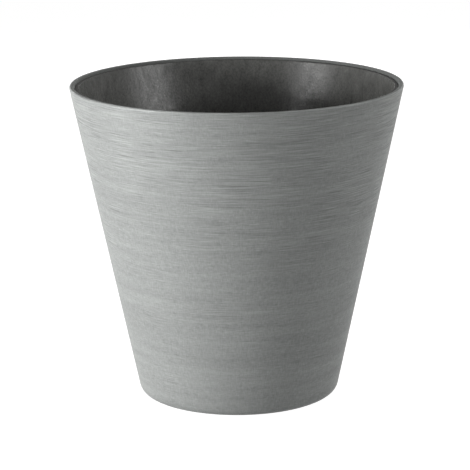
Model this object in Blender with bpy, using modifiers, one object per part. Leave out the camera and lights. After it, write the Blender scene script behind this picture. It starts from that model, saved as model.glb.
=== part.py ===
"""A self-watering planter: a tapered round pot, a lift-out liner that holds the water, and a lift-out insert.

The liner hangs two pull-up handles and a screw-in drain plug. The insert is a perforated plate above the
reservoir with soil cups that wick water up, a fill tube with a flip lid, and a float gauge.
Metres, +Z up. The origin is on the ground under the pot's axis, and the front of the pot faces -Y.
"""

import math

import bmesh
import bpy
from mathutils import Matrix

MM = 0.001

# Clearance between a piece and the seat that carries it, and around a piece pushed into a socket
SEAT_GAP = 0.3 * MM

# Outer pot
POT_RIM_DIAMETER = 300 * MM
POT_BASE_DIAMETER = 180 * MM
POT_HEIGHT = 285 * MM
POT_WALL = 4.5 * MM
POT_FLOOR = 4 * MM
POT_RIM_ROUND = 1.3 * MM
POT_BASE_ROUND = 9 * MM
POT_INSIDE_ROUND = 5 * MM
POT_FOOT_HEIGHT = 4 * MM
POT_FOOT_WIDTH = 12 * MM

# Liner and the reservoir in its lower part
LINER_WALL = 2.2 * MM
LINER_GAP = 1.2 * MM
LINER_LIP_CLEARANCE = 0.4 * MM
LINER_LIP_HEIGHT = 6 * MM
LINER_LIP_ROUND = 0.7 * MM
LINER_RECESS = 2 * MM
LINER_FLOOR = 2.5 * MM
LINER_FOOT_WIDTH = 5 * MM
LINER_FOOT_MARGIN = 5 * MM
LINER_INSIDE_ROUND = 6 * MM
LINER_LEDGE = 5 * MM
RESERVOIR_DEPTH = 60 * MM

# Drain plug, its seal and the boss that it screws into
PLUG_NECK_DIAMETER = 20 * MM
PLUG_NECK_LENGTH = 14 * MM
PLUG_THREAD_BEAD = 1.8 * MM
PLUG_THREAD_PITCH = 3 * MM
PLUG_THREAD_TURNS = 2
PLUG_FLANGE_DIAMETER = 36 * MM
PLUG_FLANGE_THICKNESS = 3 * MM
PLUG_GRIP_LENGTH = 26 * MM
PLUG_GRIP_WIDTH = 6 * MM
PLUG_GRIP_HEIGHT = 5 * MM
PLUG_GROUND_CLEARANCE = 2.3 * MM
PLUG_BORE_CLEARANCE = 0.4 * MM
PLUG_FINGER_ROOM = 9 * MM
SEAL_SECTION = 2.4 * MM
SEAL_MARGIN = 0.8 * MM
BOSS_WALL = 3 * MM
BOSS_HEIGHT = 8 * MM

# Liner handles and the guides that they slide in
HANDLE_WIDTH = 86 * MM
HANDLE_BAR_HEIGHT = 14 * MM
HANDLE_LEG_WIDTH = 10 * MM
HANDLE_THICKNESS = 3 * MM
HANDLE_CORNER_ROUND = 6 * MM
HANDLE_WALL_GAP = 1 * MM
HANDLE_SETBACK = 20 * MM
HANDLE_TRAVEL = 62 * MM
HANDLE_STOP_HEIGHT = 6 * MM
HANDLE_STOP_REACH = 4 * MM
GUIDE_HEIGHT = 14 * MM
GUIDE_CHEEK = 3 * MM
GUIDE_BRIDGE = 2 * MM
GUIDE_CLEARANCE = 1.5 * MM
GUIDE_ROOT = 0.8 * MM

# Separator plate
PLATE_THICKNESS = 3 * MM
PLATE_CLEARANCE = 1 * MM
PLATE_SKIRT_HEIGHT = 2.4 * MM
PLATE_SKIRT_WALL = 2 * MM
SOCKET_WALL = 2 * MM
SOCKET_HEIGHT = 2.4 * MM
SOCKET_SPACING = 8 * MM
SOCKET_MARGIN = 2 * MM
PERFORATION_DIAMETER = 7 * MM
PERFORATION_RINGS = 5
PERFORATIONS_IN_FIRST_RING = 6
PERFORATION_MARGIN = 3 * MM

# Soil cups
CUP_TOP_DIAMETER = 44 * MM
CUP_BOTTOM_DIAMETER = 34 * MM
CUP_WALL = 1.8 * MM
CUP_FLANGE_WIDTH = 4 * MM
CUP_FLANGE_THICKNESS = 2 * MM
CUP_FLOOR_GAP = 4 * MM
CUP_SIDE_CLEARANCE = 3 * MM
CUP_SLOT_WIDTH = 3 * MM
CUP_SLOT_HEIGHT = 30 * MM
CUP_SLOT_COUNT = 8
CUP_DRAIN_DIAMETER = 7 * MM
CUP_SPREAD = math.radians(105)

# Fill tube and its flip lid
FILL_BORE = 28 * MM
FILL_WALL = 2 * MM
FILL_SPIGOT = 8 * MM
FILL_SIDE_CLEARANCE = 2 * MM
FILL_FLANGE_THICKNESS = 2 * MM
FILL_MOUTH_BORE = 36 * MM
FILL_MOUTH_HEIGHT = 14 * MM
FILL_SETBACK = 22 * MM
LID_THICKNESS = 3 * MM
LID_OVERHANG = 0.8 * MM
LID_RIM_ROUND = 1 * MM
LID_RING_DEPTH = 3 * MM
LID_RING_WALL = 1.6 * MM
LID_RING_CLEARANCE = 0.8 * MM
LID_TAB_LENGTH = 6 * MM
LID_TAB_WIDTH = 14 * MM
HINGE_PIN_DIAMETER = 2.4 * MM
HINGE_PIN_CLEARANCE = 0.25 * MM
HINGE_KNUCKLE_WALL = 1.8 * MM
HINGE_KNUCKLE_WIDTH = 8 * MM
HINGE_EAR_WIDTH = 4 * MM
HINGE_ARM_HEIGHT = 7 * MM
HINGE_ARM_STEP = 1.2 * MM
HINGE_SIDE_GAP = 0.4 * MM
HINGE_FRONT_GAP = 0.9 * MM
HINGE_INSET = 0.2 * MM

# Float gauge
GAUGE_BORE = 17 * MM
GAUGE_WALL = 1.5 * MM
GAUGE_FLANGE_THICKNESS = 2 * MM
GAUGE_FLOOR_GAP = 3 * MM
GAUGE_SIDE_CLEARANCE = 2 * MM
GAUGE_INLET_WIDTH = 4 * MM
GAUGE_INLET_HEIGHT = 26 * MM
GAUGE_INLET_COUNT = 4
GAUGE_SETBACK = 22 * MM
WINDOW_WALL = 1.6 * MM
WINDOW_OVERLAP = 9 * MM
WINDOW_TOP_ROUND = 4 * MM
FLOAT_DIAMETER = 14.6 * MM
FLOAT_LENGTH = 24 * MM
FLOAT_ROUND = 3 * MM
FLOAT_TRAVEL = 36 * MM
ROD_DIAMETER = 3 * MM
ROD_SOCKET_DEPTH = 8 * MM
FLAG_DIAMETER = 11 * MM
FLAG_LENGTH = 14 * MM
FLAG_ROUND = 2 * MM
FLAG_MARGIN = 3 * MM

# Fineness of round shapes
LARGE_STEPS = 60
SMALL_STEPS = 28
GAUGE_STEPS = 20
PIN_STEPS = 16
HOLE_STEPS = 8
THREAD_STEPS = 14
SEAL_SIDES = 8
ARC_STEP = math.radians(30)

# Extra length that lets a cutter pass right through a wall
CUT_THROUGH = 2 * MM

# Distance within which points are merged, and the angle past which an edge stays sharp
MERGE_DISTANCE = 0.01 * MM
SHARP_ANGLE = math.radians(35)


# Walls of the pot and the liner, as radii at a height

TAPER = (POT_RIM_DIAMETER - POT_BASE_DIAMETER) / 2 / POT_HEIGHT


def pot_outer(z):
    return POT_BASE_DIAMETER / 2 + TAPER * z


def pot_inner(z):
    return pot_outer(z) - POT_WALL


def liner_outer(z):
    return pot_inner(z) - LINER_GAP


def liner_inner(z):
    return liner_outer(z) - LINER_WALL


def reservoir_inner(z):
    return liner_inner(z) - LINER_LEDGE


# Heights, from the ground up

POT_FLOOR_TOP = POT_FOOT_HEIGHT + POT_FLOOR
LINER_SEAT = POT_FLOOR_TOP + SEAT_GAP
PLUG_GRIP_BOTTOM = PLUG_GROUND_CLEARANCE
PLUG_FLANGE_BOTTOM = PLUG_GRIP_BOTTOM + PLUG_GRIP_HEIGHT
PLUG_FLANGE_TOP = PLUG_FLANGE_BOTTOM + PLUG_FLANGE_THICKNESS
SEAL_CENTRE = PLUG_FLANGE_TOP + SEAT_GAP + SEAL_SECTION / 2
LINER_UNDERSIDE = SEAL_CENTRE + SEAL_SECTION / 2 + SEAT_GAP
LINER_FLOOR_TOP = LINER_UNDERSIDE + LINER_FLOOR
LINER_TOP = POT_HEIGHT - LINER_RECESS
LEDGE_TOP = LINER_FLOOR_TOP + RESERVOIR_DEPTH
PLATE_BOTTOM = LEDGE_TOP + SEAT_GAP
PLATE_TOP = PLATE_BOTTOM + PLATE_THICKNESS
SOCKET_TOP = PLATE_TOP + SOCKET_HEIGHT
TUBE_FLANGE_BOTTOM = SOCKET_TOP + SEAT_GAP
CUP_FLANGE_BOTTOM = PLATE_TOP + SEAT_GAP
CUP_BOTTOM = LINER_FLOOR_TOP + CUP_FLOOR_GAP
LID_TOP = POT_HEIGHT - FILL_SETBACK
LID_BOTTOM = LID_TOP - LID_THICKNESS
FILL_MOUTH_TOP = LID_BOTTOM - SEAT_GAP
FILL_BOTTOM = PLATE_BOTTOM - FILL_SPIGOT
BELL_TOP = FILL_MOUTH_TOP - FILL_MOUTH_HEIGHT
BELL_BOTTOM = BELL_TOP - (FILL_MOUTH_BORE - FILL_BORE) / 2
HINGE_ARM_TOP = FILL_MOUTH_TOP - HINGE_ARM_STEP
HINGE_HEIGHT = (LID_BOTTOM + LID_TOP) / 2
HANDLE_TOP = LINER_TOP - HANDLE_SETBACK
HANDLE_BAR_BOTTOM = HANDLE_TOP - HANDLE_BAR_HEIGHT
GUIDE_TOP = HANDLE_BAR_BOTTOM - SEAT_GAP
GUIDE_BOTTOM = GUIDE_TOP - GUIDE_HEIGHT
HANDLE_STOP_TOP = GUIDE_BOTTOM - SEAT_GAP - HANDLE_TRAVEL
HANDLE_BOTTOM = HANDLE_STOP_TOP - HANDLE_STOP_HEIGHT
GAUGE_BOTTOM = LINER_FLOOR_TOP + GAUGE_FLOOR_GAP
FLOAT_BOTTOM = GAUGE_BOTTOM + GAUGE_WALL + SEAT_GAP
FLOAT_TOP = FLOAT_BOTTOM + FLOAT_LENGTH
WINDOW_TOP = POT_HEIGHT - GAUGE_SETBACK
FLAG_TOP = WINDOW_TOP - WINDOW_WALL - FLAG_MARGIN - FLOAT_TRAVEL
FLAG_BOTTOM = FLAG_TOP - FLAG_LENGTH
GAUGE_TOP = FLAG_BOTTOM - FLAG_MARGIN
WINDOW_BOTTOM = GAUGE_TOP - WINDOW_OVERLAP

# Radii that pieces share with the pieces they fit

PLUG_NECK_RADIUS = PLUG_NECK_DIAMETER / 2
PLUG_FLANGE_RADIUS = PLUG_FLANGE_DIAMETER / 2
PLUG_THREAD_HEIGHT = PLUG_THREAD_BEAD / 2
DRAIN_BORE_RADIUS = PLUG_NECK_RADIUS + PLUG_THREAD_HEIGHT + PLUG_BORE_CLEARANCE
BOSS_RADIUS = DRAIN_BORE_RADIUS + BOSS_WALL
SEAL_RADIUS = DRAIN_BORE_RADIUS + SEAL_MARGIN + SEAL_SECTION / 2
ACCESS_RADIUS = PLUG_FLANGE_RADIUS + PLUG_FINGER_ROOM
LINER_FOOT_INNER = ACCESS_RADIUS + LINER_FOOT_MARGIN
CUP_TOP_RADIUS = CUP_TOP_DIAMETER / 2
CUP_BOTTOM_RADIUS = CUP_BOTTOM_DIAMETER / 2
CUP_FLANGE_RADIUS = CUP_TOP_RADIUS + CUP_FLANGE_WIDTH
CUP_HOLE_RADIUS = CUP_TOP_RADIUS + SEAT_GAP
FILL_RADIUS = FILL_BORE / 2 + FILL_WALL
FILL_HOLE_RADIUS = FILL_RADIUS + SEAT_GAP
FILL_SOCKET_RADIUS = FILL_HOLE_RADIUS + SOCKET_WALL
FILL_MOUTH_RADIUS = FILL_MOUTH_BORE / 2 + FILL_WALL
LID_RADIUS = FILL_MOUTH_RADIUS + LID_OVERHANG
LID_RING_RADIUS = FILL_MOUTH_BORE / 2 - LID_RING_CLEARANCE
HINGE_PIN_RADIUS = HINGE_PIN_DIAMETER / 2
HINGE_BORE_RADIUS = HINGE_PIN_RADIUS + HINGE_PIN_CLEARANCE
HINGE_KNUCKLE_RADIUS = HINGE_BORE_RADIUS + HINGE_KNUCKLE_WALL
HINGE_DISTANCE = LID_RADIUS + HINGE_FRONT_GAP + HINGE_KNUCKLE_RADIUS
GAUGE_RADIUS = GAUGE_BORE / 2 + GAUGE_WALL
GAUGE_HOLE_RADIUS = GAUGE_RADIUS + SEAT_GAP
GAUGE_SOCKET_RADIUS = GAUGE_HOLE_RADIUS + SOCKET_WALL
WINDOW_BORE_RADIUS = GAUGE_RADIUS + SEAT_GAP
WINDOW_RADIUS = WINDOW_BORE_RADIUS + WINDOW_WALL
ROD_RADIUS = ROD_DIAMETER / 2
ROD_SOCKET_RADIUS = ROD_RADIUS + SEAT_GAP
FLOAT_RADIUS = FLOAT_DIAMETER / 2
FLAG_RADIUS = FLAG_DIAMETER / 2

# Places of the pieces on the plate

FLOOR_FLAT_RADIUS = reservoir_inner(LINER_FLOOR_TOP) - LINER_INSIDE_ROUND
PLATE_ROOM = liner_inner(PLATE_TOP) - PLATE_CLEARANCE - PLATE_SKIRT_WALL - SOCKET_MARGIN
CUP_DISTANCE = FLOOR_FLAT_RADIUS - CUP_SIDE_CLEARANCE - CUP_BOTTOM_RADIUS
REAR = math.radians(90)
CUP_ANGLES = {
    "wick_cup_rear": REAR,
    "wick_cup_left": REAR + CUP_SPREAD,
    "wick_cup_right": REAR - CUP_SPREAD,
}
FILL_DISTANCE = min(
    PLATE_ROOM - FILL_SOCKET_RADIUS,
    reservoir_inner(FILL_BOTTOM) - FILL_SIDE_CLEARANCE - FILL_RADIUS,
)
FILL_X = -(SOCKET_SPACING / 2 + FILL_SOCKET_RADIUS)
FILL_Y = -math.sqrt(FILL_DISTANCE**2 - FILL_X**2)
HINGE_Y = FILL_Y - HINGE_DISTANCE
GAUGE_DISTANCE = FLOOR_FLAT_RADIUS - GAUGE_SIDE_CLEARANCE - GAUGE_RADIUS
GAUGE_X = SOCKET_SPACING / 2 + GAUGE_SOCKET_RADIUS
GAUGE_Y = -math.sqrt(GAUGE_DISTANCE**2 - GAUGE_X**2)


# Scene, collections, materials

def clear_scene():
    for obj in list(bpy.data.objects):
        bpy.data.objects.remove(obj)


def new_collection(name):
    collection = bpy.data.collections.new(name)
    bpy.context.scene.collection.children.link(collection)
    return collection


def plastic(name, colour, roughness, alpha=1.0):
    material = bpy.data.materials.new(name)
    material.use_nodes = True
    shader = material.node_tree.nodes["Principled BSDF"]
    shader.inputs["Base Color"].default_value = (*colour, 1)
    shader.inputs["Roughness"].default_value = roughness
    shader.inputs["Metallic"].default_value = 0
    shader.inputs["Alpha"].default_value = alpha
    return material


def steel(name, colour, roughness):
    material = plastic(name, colour, roughness)
    material.node_tree.nodes["Principled BSDF"].inputs["Metallic"].default_value = 1
    return material


clear_scene()
PARTS = new_collection("self_watering_planter")
CUTTERS = new_collection("cutters")
BRUSHED_GREY = plastic("brushed_grey", (0.33, 0.34, 0.335), 0.6)
DARK_GREY = plastic("dark_grey", (0.05, 0.05, 0.049), 0.42)
BLACK = plastic("black", (0.02, 0.02, 0.021), 0.45)
RUBBER = plastic("rubber", (0.012, 0.012, 0.012), 0.7)
RED = plastic("red", (0.55, 0.02, 0.015), 0.4)
FOAM = plastic("foam", (0.72, 0.71, 0.66), 0.8)
CLEAR = plastic("clear", (0.85, 0.87, 0.87), 0.08, alpha=0.35)
PIN_STEEL = steel("pin_steel", (0.6, 0.6, 0.6), 0.3)


# Building blocks

def frame_at(name, height, parent=None, x=0.0, y=0.0):
    """An empty at a place in the planter's frame, which carries the pieces of one moving body."""
    frame = bpy.data.objects.new(name, None)
    PARTS.objects.link(frame)
    frame["place"] = (x, y, height)
    put_in(frame, parent, x, y, height)
    return frame


def put_in(obj, frame, x, y, z):
    """Parents an object to a frame, at a place given in the planter's frame."""
    if frame:
        obj.parent = frame
        x -= frame["place"][0]
        y -= frame["place"][1]
        z -= frame["place"][2]
    obj.location = (x, y, z)


def piece(name, mesh, material, frame, x=0.0, y=0.0):
    """A named sub-part whose mesh is in the planter's heights, on a vertical axis at x, y."""
    obj = bpy.data.objects.new(name, mesh)
    PARTS.objects.link(obj)
    mesh.materials.append(material)
    put_in(obj, frame, x, y, 0.0)
    return obj


def helper(name, mesh, frame, x=0.0, y=0.0):
    """A shape that only cuts or joins another, placed as a piece is."""
    obj = bpy.data.objects.new(name, mesh)
    CUTTERS.objects.link(obj)
    obj.hide_render = True
    obj.display_type = "WIRE"
    put_in(obj, frame, x, y, 0.0)
    return obj


def boolean(obj, operation, other):
    modifier = obj.modifiers.new(f"{operation.lower()} {other.name}", "BOOLEAN")
    modifier.operation = operation
    modifier.object = other


def rounded(corners, closed):
    """The points of an outline, with an arc at each corner (radius, height, round) that has a round."""
    points = []
    count = len(corners)
    for i, (r, z, radius) in enumerate(corners):
        at_end = not closed and i in (0, count - 1)
        if at_end or radius == 0:
            points.append((r, z))
            continue
        before = corners[i - 1]
        after = corners[(i + 1) % count]
        points.extend(corner_arc((r, z), before, after, radius))
    return points


def corner_arc(corner, before, after, radius):
    """Points of the arc that touches both sides of a corner, no longer than half of either side."""
    sides = []
    for end in (before, after):
        dr = end[0] - corner[0]
        dz = end[1] - corner[1]
        length = math.hypot(dr, dz)
        sides.append((dr / length, dz / length, length))
    (ar, az, a_length), (br, bz, b_length) = sides
    half = math.acos(max(-1, min(1, ar * br + az * bz))) / 2
    reach = min(radius / math.tan(half), a_length / 2, b_length / 2)
    radius = reach * math.tan(half)
    middle = radius / math.sin(half)
    bisector = math.hypot(ar + br, az + bz)
    centre_r = corner[0] + (ar + br) / bisector * middle
    centre_z = corner[1] + (az + bz) / bisector * middle
    start = math.atan2(corner[1] + az * reach - centre_z, corner[0] + ar * reach - centre_r)
    end = math.atan2(corner[1] + bz * reach - centre_z, corner[0] + br * reach - centre_r)
    sweep = (end - start + math.pi) % math.tau - math.pi
    steps = max(2, math.ceil(abs(sweep) / ARC_STEP))
    angles = [start + sweep * k / steps for k in range(steps + 1)]
    return [(centre_r + radius * math.cos(a), centre_z + radius * math.sin(a)) for a in angles]


def profile_mesh(name, corners, closed):
    points = rounded(corners, closed)
    edges = [(i, i + 1) for i in range(len(points) - 1)]
    if closed:
        edges.append((len(points) - 1, 0))
    mesh = bpy.data.meshes.new(name)
    mesh.from_pydata([(r, 0, z) for r, z in points], edges, [])
    return mesh


def turn(obj, steps):
    """Turns a profile about the object's own vertical axis."""
    screw = obj.modifiers.new("turn", "SCREW")
    screw.axis = "Z"
    screw.angle = math.tau
    screw.steps = steps
    screw.render_steps = steps
    screw.use_smooth_shade = True
    screw.use_merge_vertices = True
    screw.merge_threshold = MERGE_DISTANCE
    return obj


def turned_ring(name, corners, material, frame, steps, x=0.0, y=0.0):
    """A turned piece with a hole along its axis. Its corners run down the outer side."""
    return turn(piece(name, profile_mesh(name, corners, True), material, frame, x, y), steps)


def turned_solid(name, corners, material, frame, steps, x=0.0, y=0.0):
    """A turned piece that is closed on its axis. Its corners run down from the top of the axis."""
    return turn(piece(name, profile_mesh(name, corners, False), material, frame, x, y), steps)


def ring_layer(name, inner, outer, bottom, top, frame):
    """A helper in the shape of a tapered tube between two wall functions."""
    corners = [
        (outer(top), top, 0),
        (outer(bottom), bottom, 0),
        (inner(bottom), bottom, 0),
        (inner(top), top, 0),
    ]
    return turn(helper(name, profile_mesh(name, corners, True), frame), LARGE_STEPS)


def add_cylinder(bm, radius, bottom, top, x=0.0, y=0.0, steps=SMALL_STEPS):
    place = Matrix.Translation((x, y, (bottom + top) / 2))
    bmesh.ops.create_cone(
        bm, cap_ends=True, segments=steps, radius1=radius, radius2=radius, depth=top - bottom, matrix=place
    )


def add_cross_cylinder(bm, radius, left, right, y, z, steps=SMALL_STEPS):
    """A cylinder along X."""
    place = Matrix.Translation(((left + right) / 2, y, z)) @ Matrix.Rotation(math.radians(90), 4, "Y")
    bmesh.ops.create_cone(
        bm, cap_ends=True, segments=steps, radius1=radius, radius2=radius, depth=right - left, matrix=place
    )


def add_box(bm, low, high, turn_angle=0.0):
    """A box between two corners, turned about the vertical axis."""
    size = [b - a for a, b in zip(low, high)]
    middle = [(a + b) / 2 for a, b in zip(low, high)]
    place = Matrix.Rotation(turn_angle, 4, "Z") @ Matrix.Translation(middle) @ Matrix.Diagonal((*size, 1))
    bmesh.ops.create_cube(bm, size=1, matrix=place)


def mesh_of(name, build):
    """A mesh of the closed shapes that build adds to it."""
    bm = bmesh.new()
    build(bm)
    mesh = bpy.data.meshes.new(name)
    bm.to_mesh(mesh)
    bm.free()
    return mesh


def smooth(mesh):
    mesh.shade_smooth()
    mesh.set_sharp_from_angle(angle=SHARP_ANGLE)
    return mesh


def mesh_from_curve(name, curve):
    """The mesh of a curve with its caps welded on."""
    source = bpy.data.objects.new(name, curve)
    CUTTERS.objects.link(source)
    bpy.context.view_layer.update()
    graph = bpy.context.evaluated_depsgraph_get()
    mesh = bpy.data.meshes.new_from_object(source.evaluated_get(graph))
    bpy.data.objects.remove(source)
    bm = bmesh.new()
    bm.from_mesh(mesh)
    bmesh.ops.remove_doubles(bm, verts=bm.verts, dist=MERGE_DISTANCE)
    bm.to_mesh(mesh)
    bm.free()
    mesh.name = name
    return mesh


# Outer pot

def build_outer_pot(frame):
    base = POT_BASE_DIAMETER / 2
    foot_inner = base - POT_BASE_ROUND - POT_FOOT_WIDTH
    corners = [
        (pot_outer(POT_HEIGHT), POT_HEIGHT, POT_RIM_ROUND),
        (base, 0, POT_BASE_ROUND),
        (foot_inner, 0, 0),
        (foot_inner, POT_FOOT_HEIGHT, 0),
        (ACCESS_RADIUS, POT_FOOT_HEIGHT, 0),
        (ACCESS_RADIUS, POT_FLOOR_TOP, 0),
        (pot_inner(POT_FLOOR_TOP), POT_FLOOR_TOP, POT_INSIDE_ROUND),
        (pot_inner(POT_HEIGHT), POT_HEIGHT, POT_RIM_ROUND),
    ]
    turned_ring("outer_pot", corners, BRUSHED_GREY, frame, LARGE_STEPS)


# Liner with its lip, ledge, foot, drain boss and handle guides

def build_liner(frame):
    lip_bottom = LINER_TOP - LINER_LIP_HEIGHT
    step_bottom = LEDGE_TOP - LINER_WALL
    foot_outer = LINER_FOOT_INNER + LINER_FOOT_WIDTH
    corners = [
        (pot_inner(LINER_TOP) - LINER_LIP_CLEARANCE, LINER_TOP, LINER_LIP_ROUND),
        (pot_inner(lip_bottom) - LINER_LIP_CLEARANCE, lip_bottom, 0),
        (liner_outer(lip_bottom), lip_bottom, 0),
        (liner_outer(step_bottom), step_bottom, 0),
        (liner_outer(step_bottom) - LINER_LEDGE, step_bottom, 0),
        (liner_outer(LINER_UNDERSIDE) - LINER_LEDGE, LINER_UNDERSIDE, LINER_INSIDE_ROUND + LINER_WALL),
        (foot_outer, LINER_UNDERSIDE, 0),
        (foot_outer, LINER_SEAT, 0),
        (LINER_FOOT_INNER, LINER_SEAT, 0),
        (LINER_FOOT_INNER, LINER_UNDERSIDE, 0),
        (DRAIN_BORE_RADIUS, LINER_UNDERSIDE, 0),
        (DRAIN_BORE_RADIUS, LINER_FLOOR_TOP + BOSS_HEIGHT, 0),
        (BOSS_RADIUS, LINER_FLOOR_TOP + BOSS_HEIGHT, 0),
        (BOSS_RADIUS, LINER_FLOOR_TOP, 0),
        (reservoir_inner(LINER_FLOOR_TOP), LINER_FLOOR_TOP, LINER_INSIDE_ROUND),
        (reservoir_inner(LEDGE_TOP), LEDGE_TOP, 0),
        (liner_inner(LEDGE_TOP), LEDGE_TOP, 0),
        (liner_inner(LINER_TOP), LINER_TOP, LINER_LIP_ROUND),
    ]
    liner = turned_ring("liner", corners, DARK_GREY, frame, LARGE_STEPS)
    boolean(liner, "UNION", handle_guides(frame))


def handle_strap_inner(z):
    return liner_inner(z) - HANDLE_WALL_GAP - HANDLE_THICKNESS


def handle_strap_outer(z):
    return liner_inner(z) - HANDLE_WALL_GAP


def handle_guides(frame):
    """Four bridges on the liner's wall, one over each handle leg, open towards the wall."""
    leg_middle = (HANDLE_WIDTH - HANDLE_LEG_WIDTH) / 2
    slot_half = HANDLE_LEG_WIDTH / 2 + GUIDE_CLEARANCE
    block_half = slot_half + GUIDE_CHEEK
    reach = liner_outer(LINER_TOP)

    def bars(half, bottom, top):
        def build(bm):
            for side in (-1, 1):
                y = side * leg_middle
                add_box(bm, (-reach, y - half, bottom), (reach, y + half, top))
        return build

    def bridge_face(z):
        return handle_strap_inner(z) - GUIDE_CLEARANCE - GUIDE_BRIDGE

    def slot_face(z):
        return handle_strap_inner(z) - GUIDE_CLEARANCE

    def root_face(z):
        return liner_inner(z) + GUIDE_ROOT

    def slot_back(z):
        return liner_outer(z) + CUT_THROUGH

    low = GUIDE_BOTTOM - CUT_THROUGH
    high = GUIDE_TOP + CUT_THROUGH
    guides = helper("guide_blocks", mesh_of("guide_blocks", bars(block_half, GUIDE_BOTTOM, GUIDE_TOP)), frame)
    boolean(guides, "INTERSECT", ring_layer("guide_layer", bridge_face, root_face, low, high, frame))
    slots = helper("guide_slots", mesh_of("guide_slots", bars(slot_half, low, high)), frame)
    boolean(slots, "INTERSECT", ring_layer("guide_slot_layer", slot_face, slot_back, low, high, frame))
    boolean(guides, "DIFFERENCE", slots)
    return guides


# Pull-up handles: a strap bent to the liner's wall, with two legs that end in stops

def build_handle(name, side, frame):
    half = HANDLE_WIDTH / 2
    leg_inner = half - HANDLE_LEG_WIDTH
    inside_round = GUIDE_CLEARANCE / 2
    corners = [
        (half, HANDLE_TOP, HANDLE_CORNER_ROUND),
        (half, HANDLE_STOP_TOP, 0),
        (half + HANDLE_STOP_REACH, HANDLE_STOP_TOP, 0),
        (half + HANDLE_STOP_REACH, HANDLE_BOTTOM, 0),
        (leg_inner, HANDLE_BOTTOM, 0),
        (leg_inner, HANDLE_BAR_BOTTOM, inside_round),
        (-leg_inner, HANDLE_BAR_BOTTOM, inside_round),
        (-leg_inner, HANDLE_BOTTOM, 0),
        (-half - HANDLE_STOP_REACH, HANDLE_BOTTOM, 0),
        (-half - HANDLE_STOP_REACH, HANDLE_STOP_TOP, 0),
        (-half, HANDLE_STOP_TOP, 0),
        (-half, HANDLE_TOP, HANDLE_CORNER_ROUND),
    ]
    mesh = extruded_across(name, corners, side * liner_outer(LINER_TOP))
    handle = piece(name, mesh, DARK_GREY, frame)
    low = HANDLE_BOTTOM - CUT_THROUGH
    high = HANDLE_TOP + CUT_THROUGH
    strap = ring_layer(f"{name}_layer", handle_strap_inner, handle_strap_outer, low, high, frame)
    boolean(handle, "INTERSECT", strap)


def extruded_across(name, corners, reach):
    """A flat outline of (y, z) corners, extruded along X from the axis to a reach on either side of it."""
    curve = bpy.data.curves.new(name, "CURVE")
    curve.dimensions = "2D"
    curve.fill_mode = "BOTH"
    curve.extrude = abs(reach) / 2
    points = rounded(corners, True)
    spline = curve.splines.new("POLY")
    spline.points.add(len(points) - 1)
    for point, (y, z) in zip(spline.points, points):
        point.co = (y, z, 0, 1)
    spline.use_cyclic_u = True
    mesh = mesh_from_curve(name, curve)
    upright = Matrix(((0, 0, 1, 0), (1, 0, 0, 0), (0, 1, 0, 0), (0, 0, 0, 1)))
    mesh.transform(Matrix.Translation((reach / 2, 0, 0)) @ upright)
    return mesh


# Drain plug and seal

def build_drain_plug(frame):
    neck_top = PLUG_FLANGE_TOP + PLUG_NECK_LENGTH
    corners = [
        (0, neck_top, 0),
        (PLUG_NECK_RADIUS, neck_top, PLUG_THREAD_HEIGHT),
        (PLUG_NECK_RADIUS, PLUG_FLANGE_TOP, 0),
        (PLUG_FLANGE_RADIUS, PLUG_FLANGE_TOP, 0),
        (PLUG_FLANGE_RADIUS, PLUG_FLANGE_BOTTOM, 0),
        (0, PLUG_FLANGE_BOTTOM, 0),
    ]
    plug = turned_solid("drain_plug", corners, BLACK, frame, SMALL_STEPS)
    boolean(plug, "UNION", helper("plug_thread", thread_bead(neck_top), frame))
    low = (-PLUG_GRIP_LENGTH / 2, -PLUG_GRIP_WIDTH / 2, PLUG_GRIP_BOTTOM)
    high = (PLUG_GRIP_LENGTH / 2, PLUG_GRIP_WIDTH / 2, PLUG_FLANGE_BOTTOM + PLUG_FLANGE_THICKNESS / 2)
    grip = helper("plug_grip", mesh_of("plug_grip", lambda bm: add_box(bm, low, high)), frame)
    boolean(plug, "UNION", grip)


def thread_bead(neck_top):
    """A round bead that climbs the plug's neck as its screw thread."""
    curve = bpy.data.curves.new("plug_thread", "CURVE")
    curve.dimensions = "3D"
    curve.bevel_depth = PLUG_THREAD_HEIGHT
    curve.bevel_resolution = 1
    curve.use_fill_caps = True
    count = PLUG_THREAD_TURNS * THREAD_STEPS + 1
    bottom = neck_top - PLUG_THREAD_TURNS * PLUG_THREAD_PITCH - PLUG_THREAD_BEAD
    spline = curve.splines.new("POLY")
    spline.points.add(count - 1)
    for i, point in enumerate(spline.points):
        turns = i / THREAD_STEPS
        angle = math.tau * turns
        height = bottom + PLUG_THREAD_PITCH * turns
        x = PLUG_NECK_RADIUS * math.cos(angle)
        y = PLUG_NECK_RADIUS * math.sin(angle)
        point.co = (x, y, height, 1)
    return mesh_from_curve("plug_thread", curve)


def build_drain_seal(frame):
    bpy.ops.mesh.primitive_torus_add(
        major_radius=SEAL_RADIUS,
        minor_radius=SEAL_SECTION / 2,
        major_segments=SMALL_STEPS,
        minor_segments=SEAL_SIDES,
    )
    made = bpy.context.object
    mesh = made.data
    bpy.data.objects.remove(made)
    mesh.transform(Matrix.Translation((0, 0, SEAL_CENTRE)))
    mesh.name = "drain_seal"
    piece("drain_seal", smooth(mesh), RUBBER, frame)


# Separator plate with its skirt, sockets, cup holes and perforations

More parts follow.
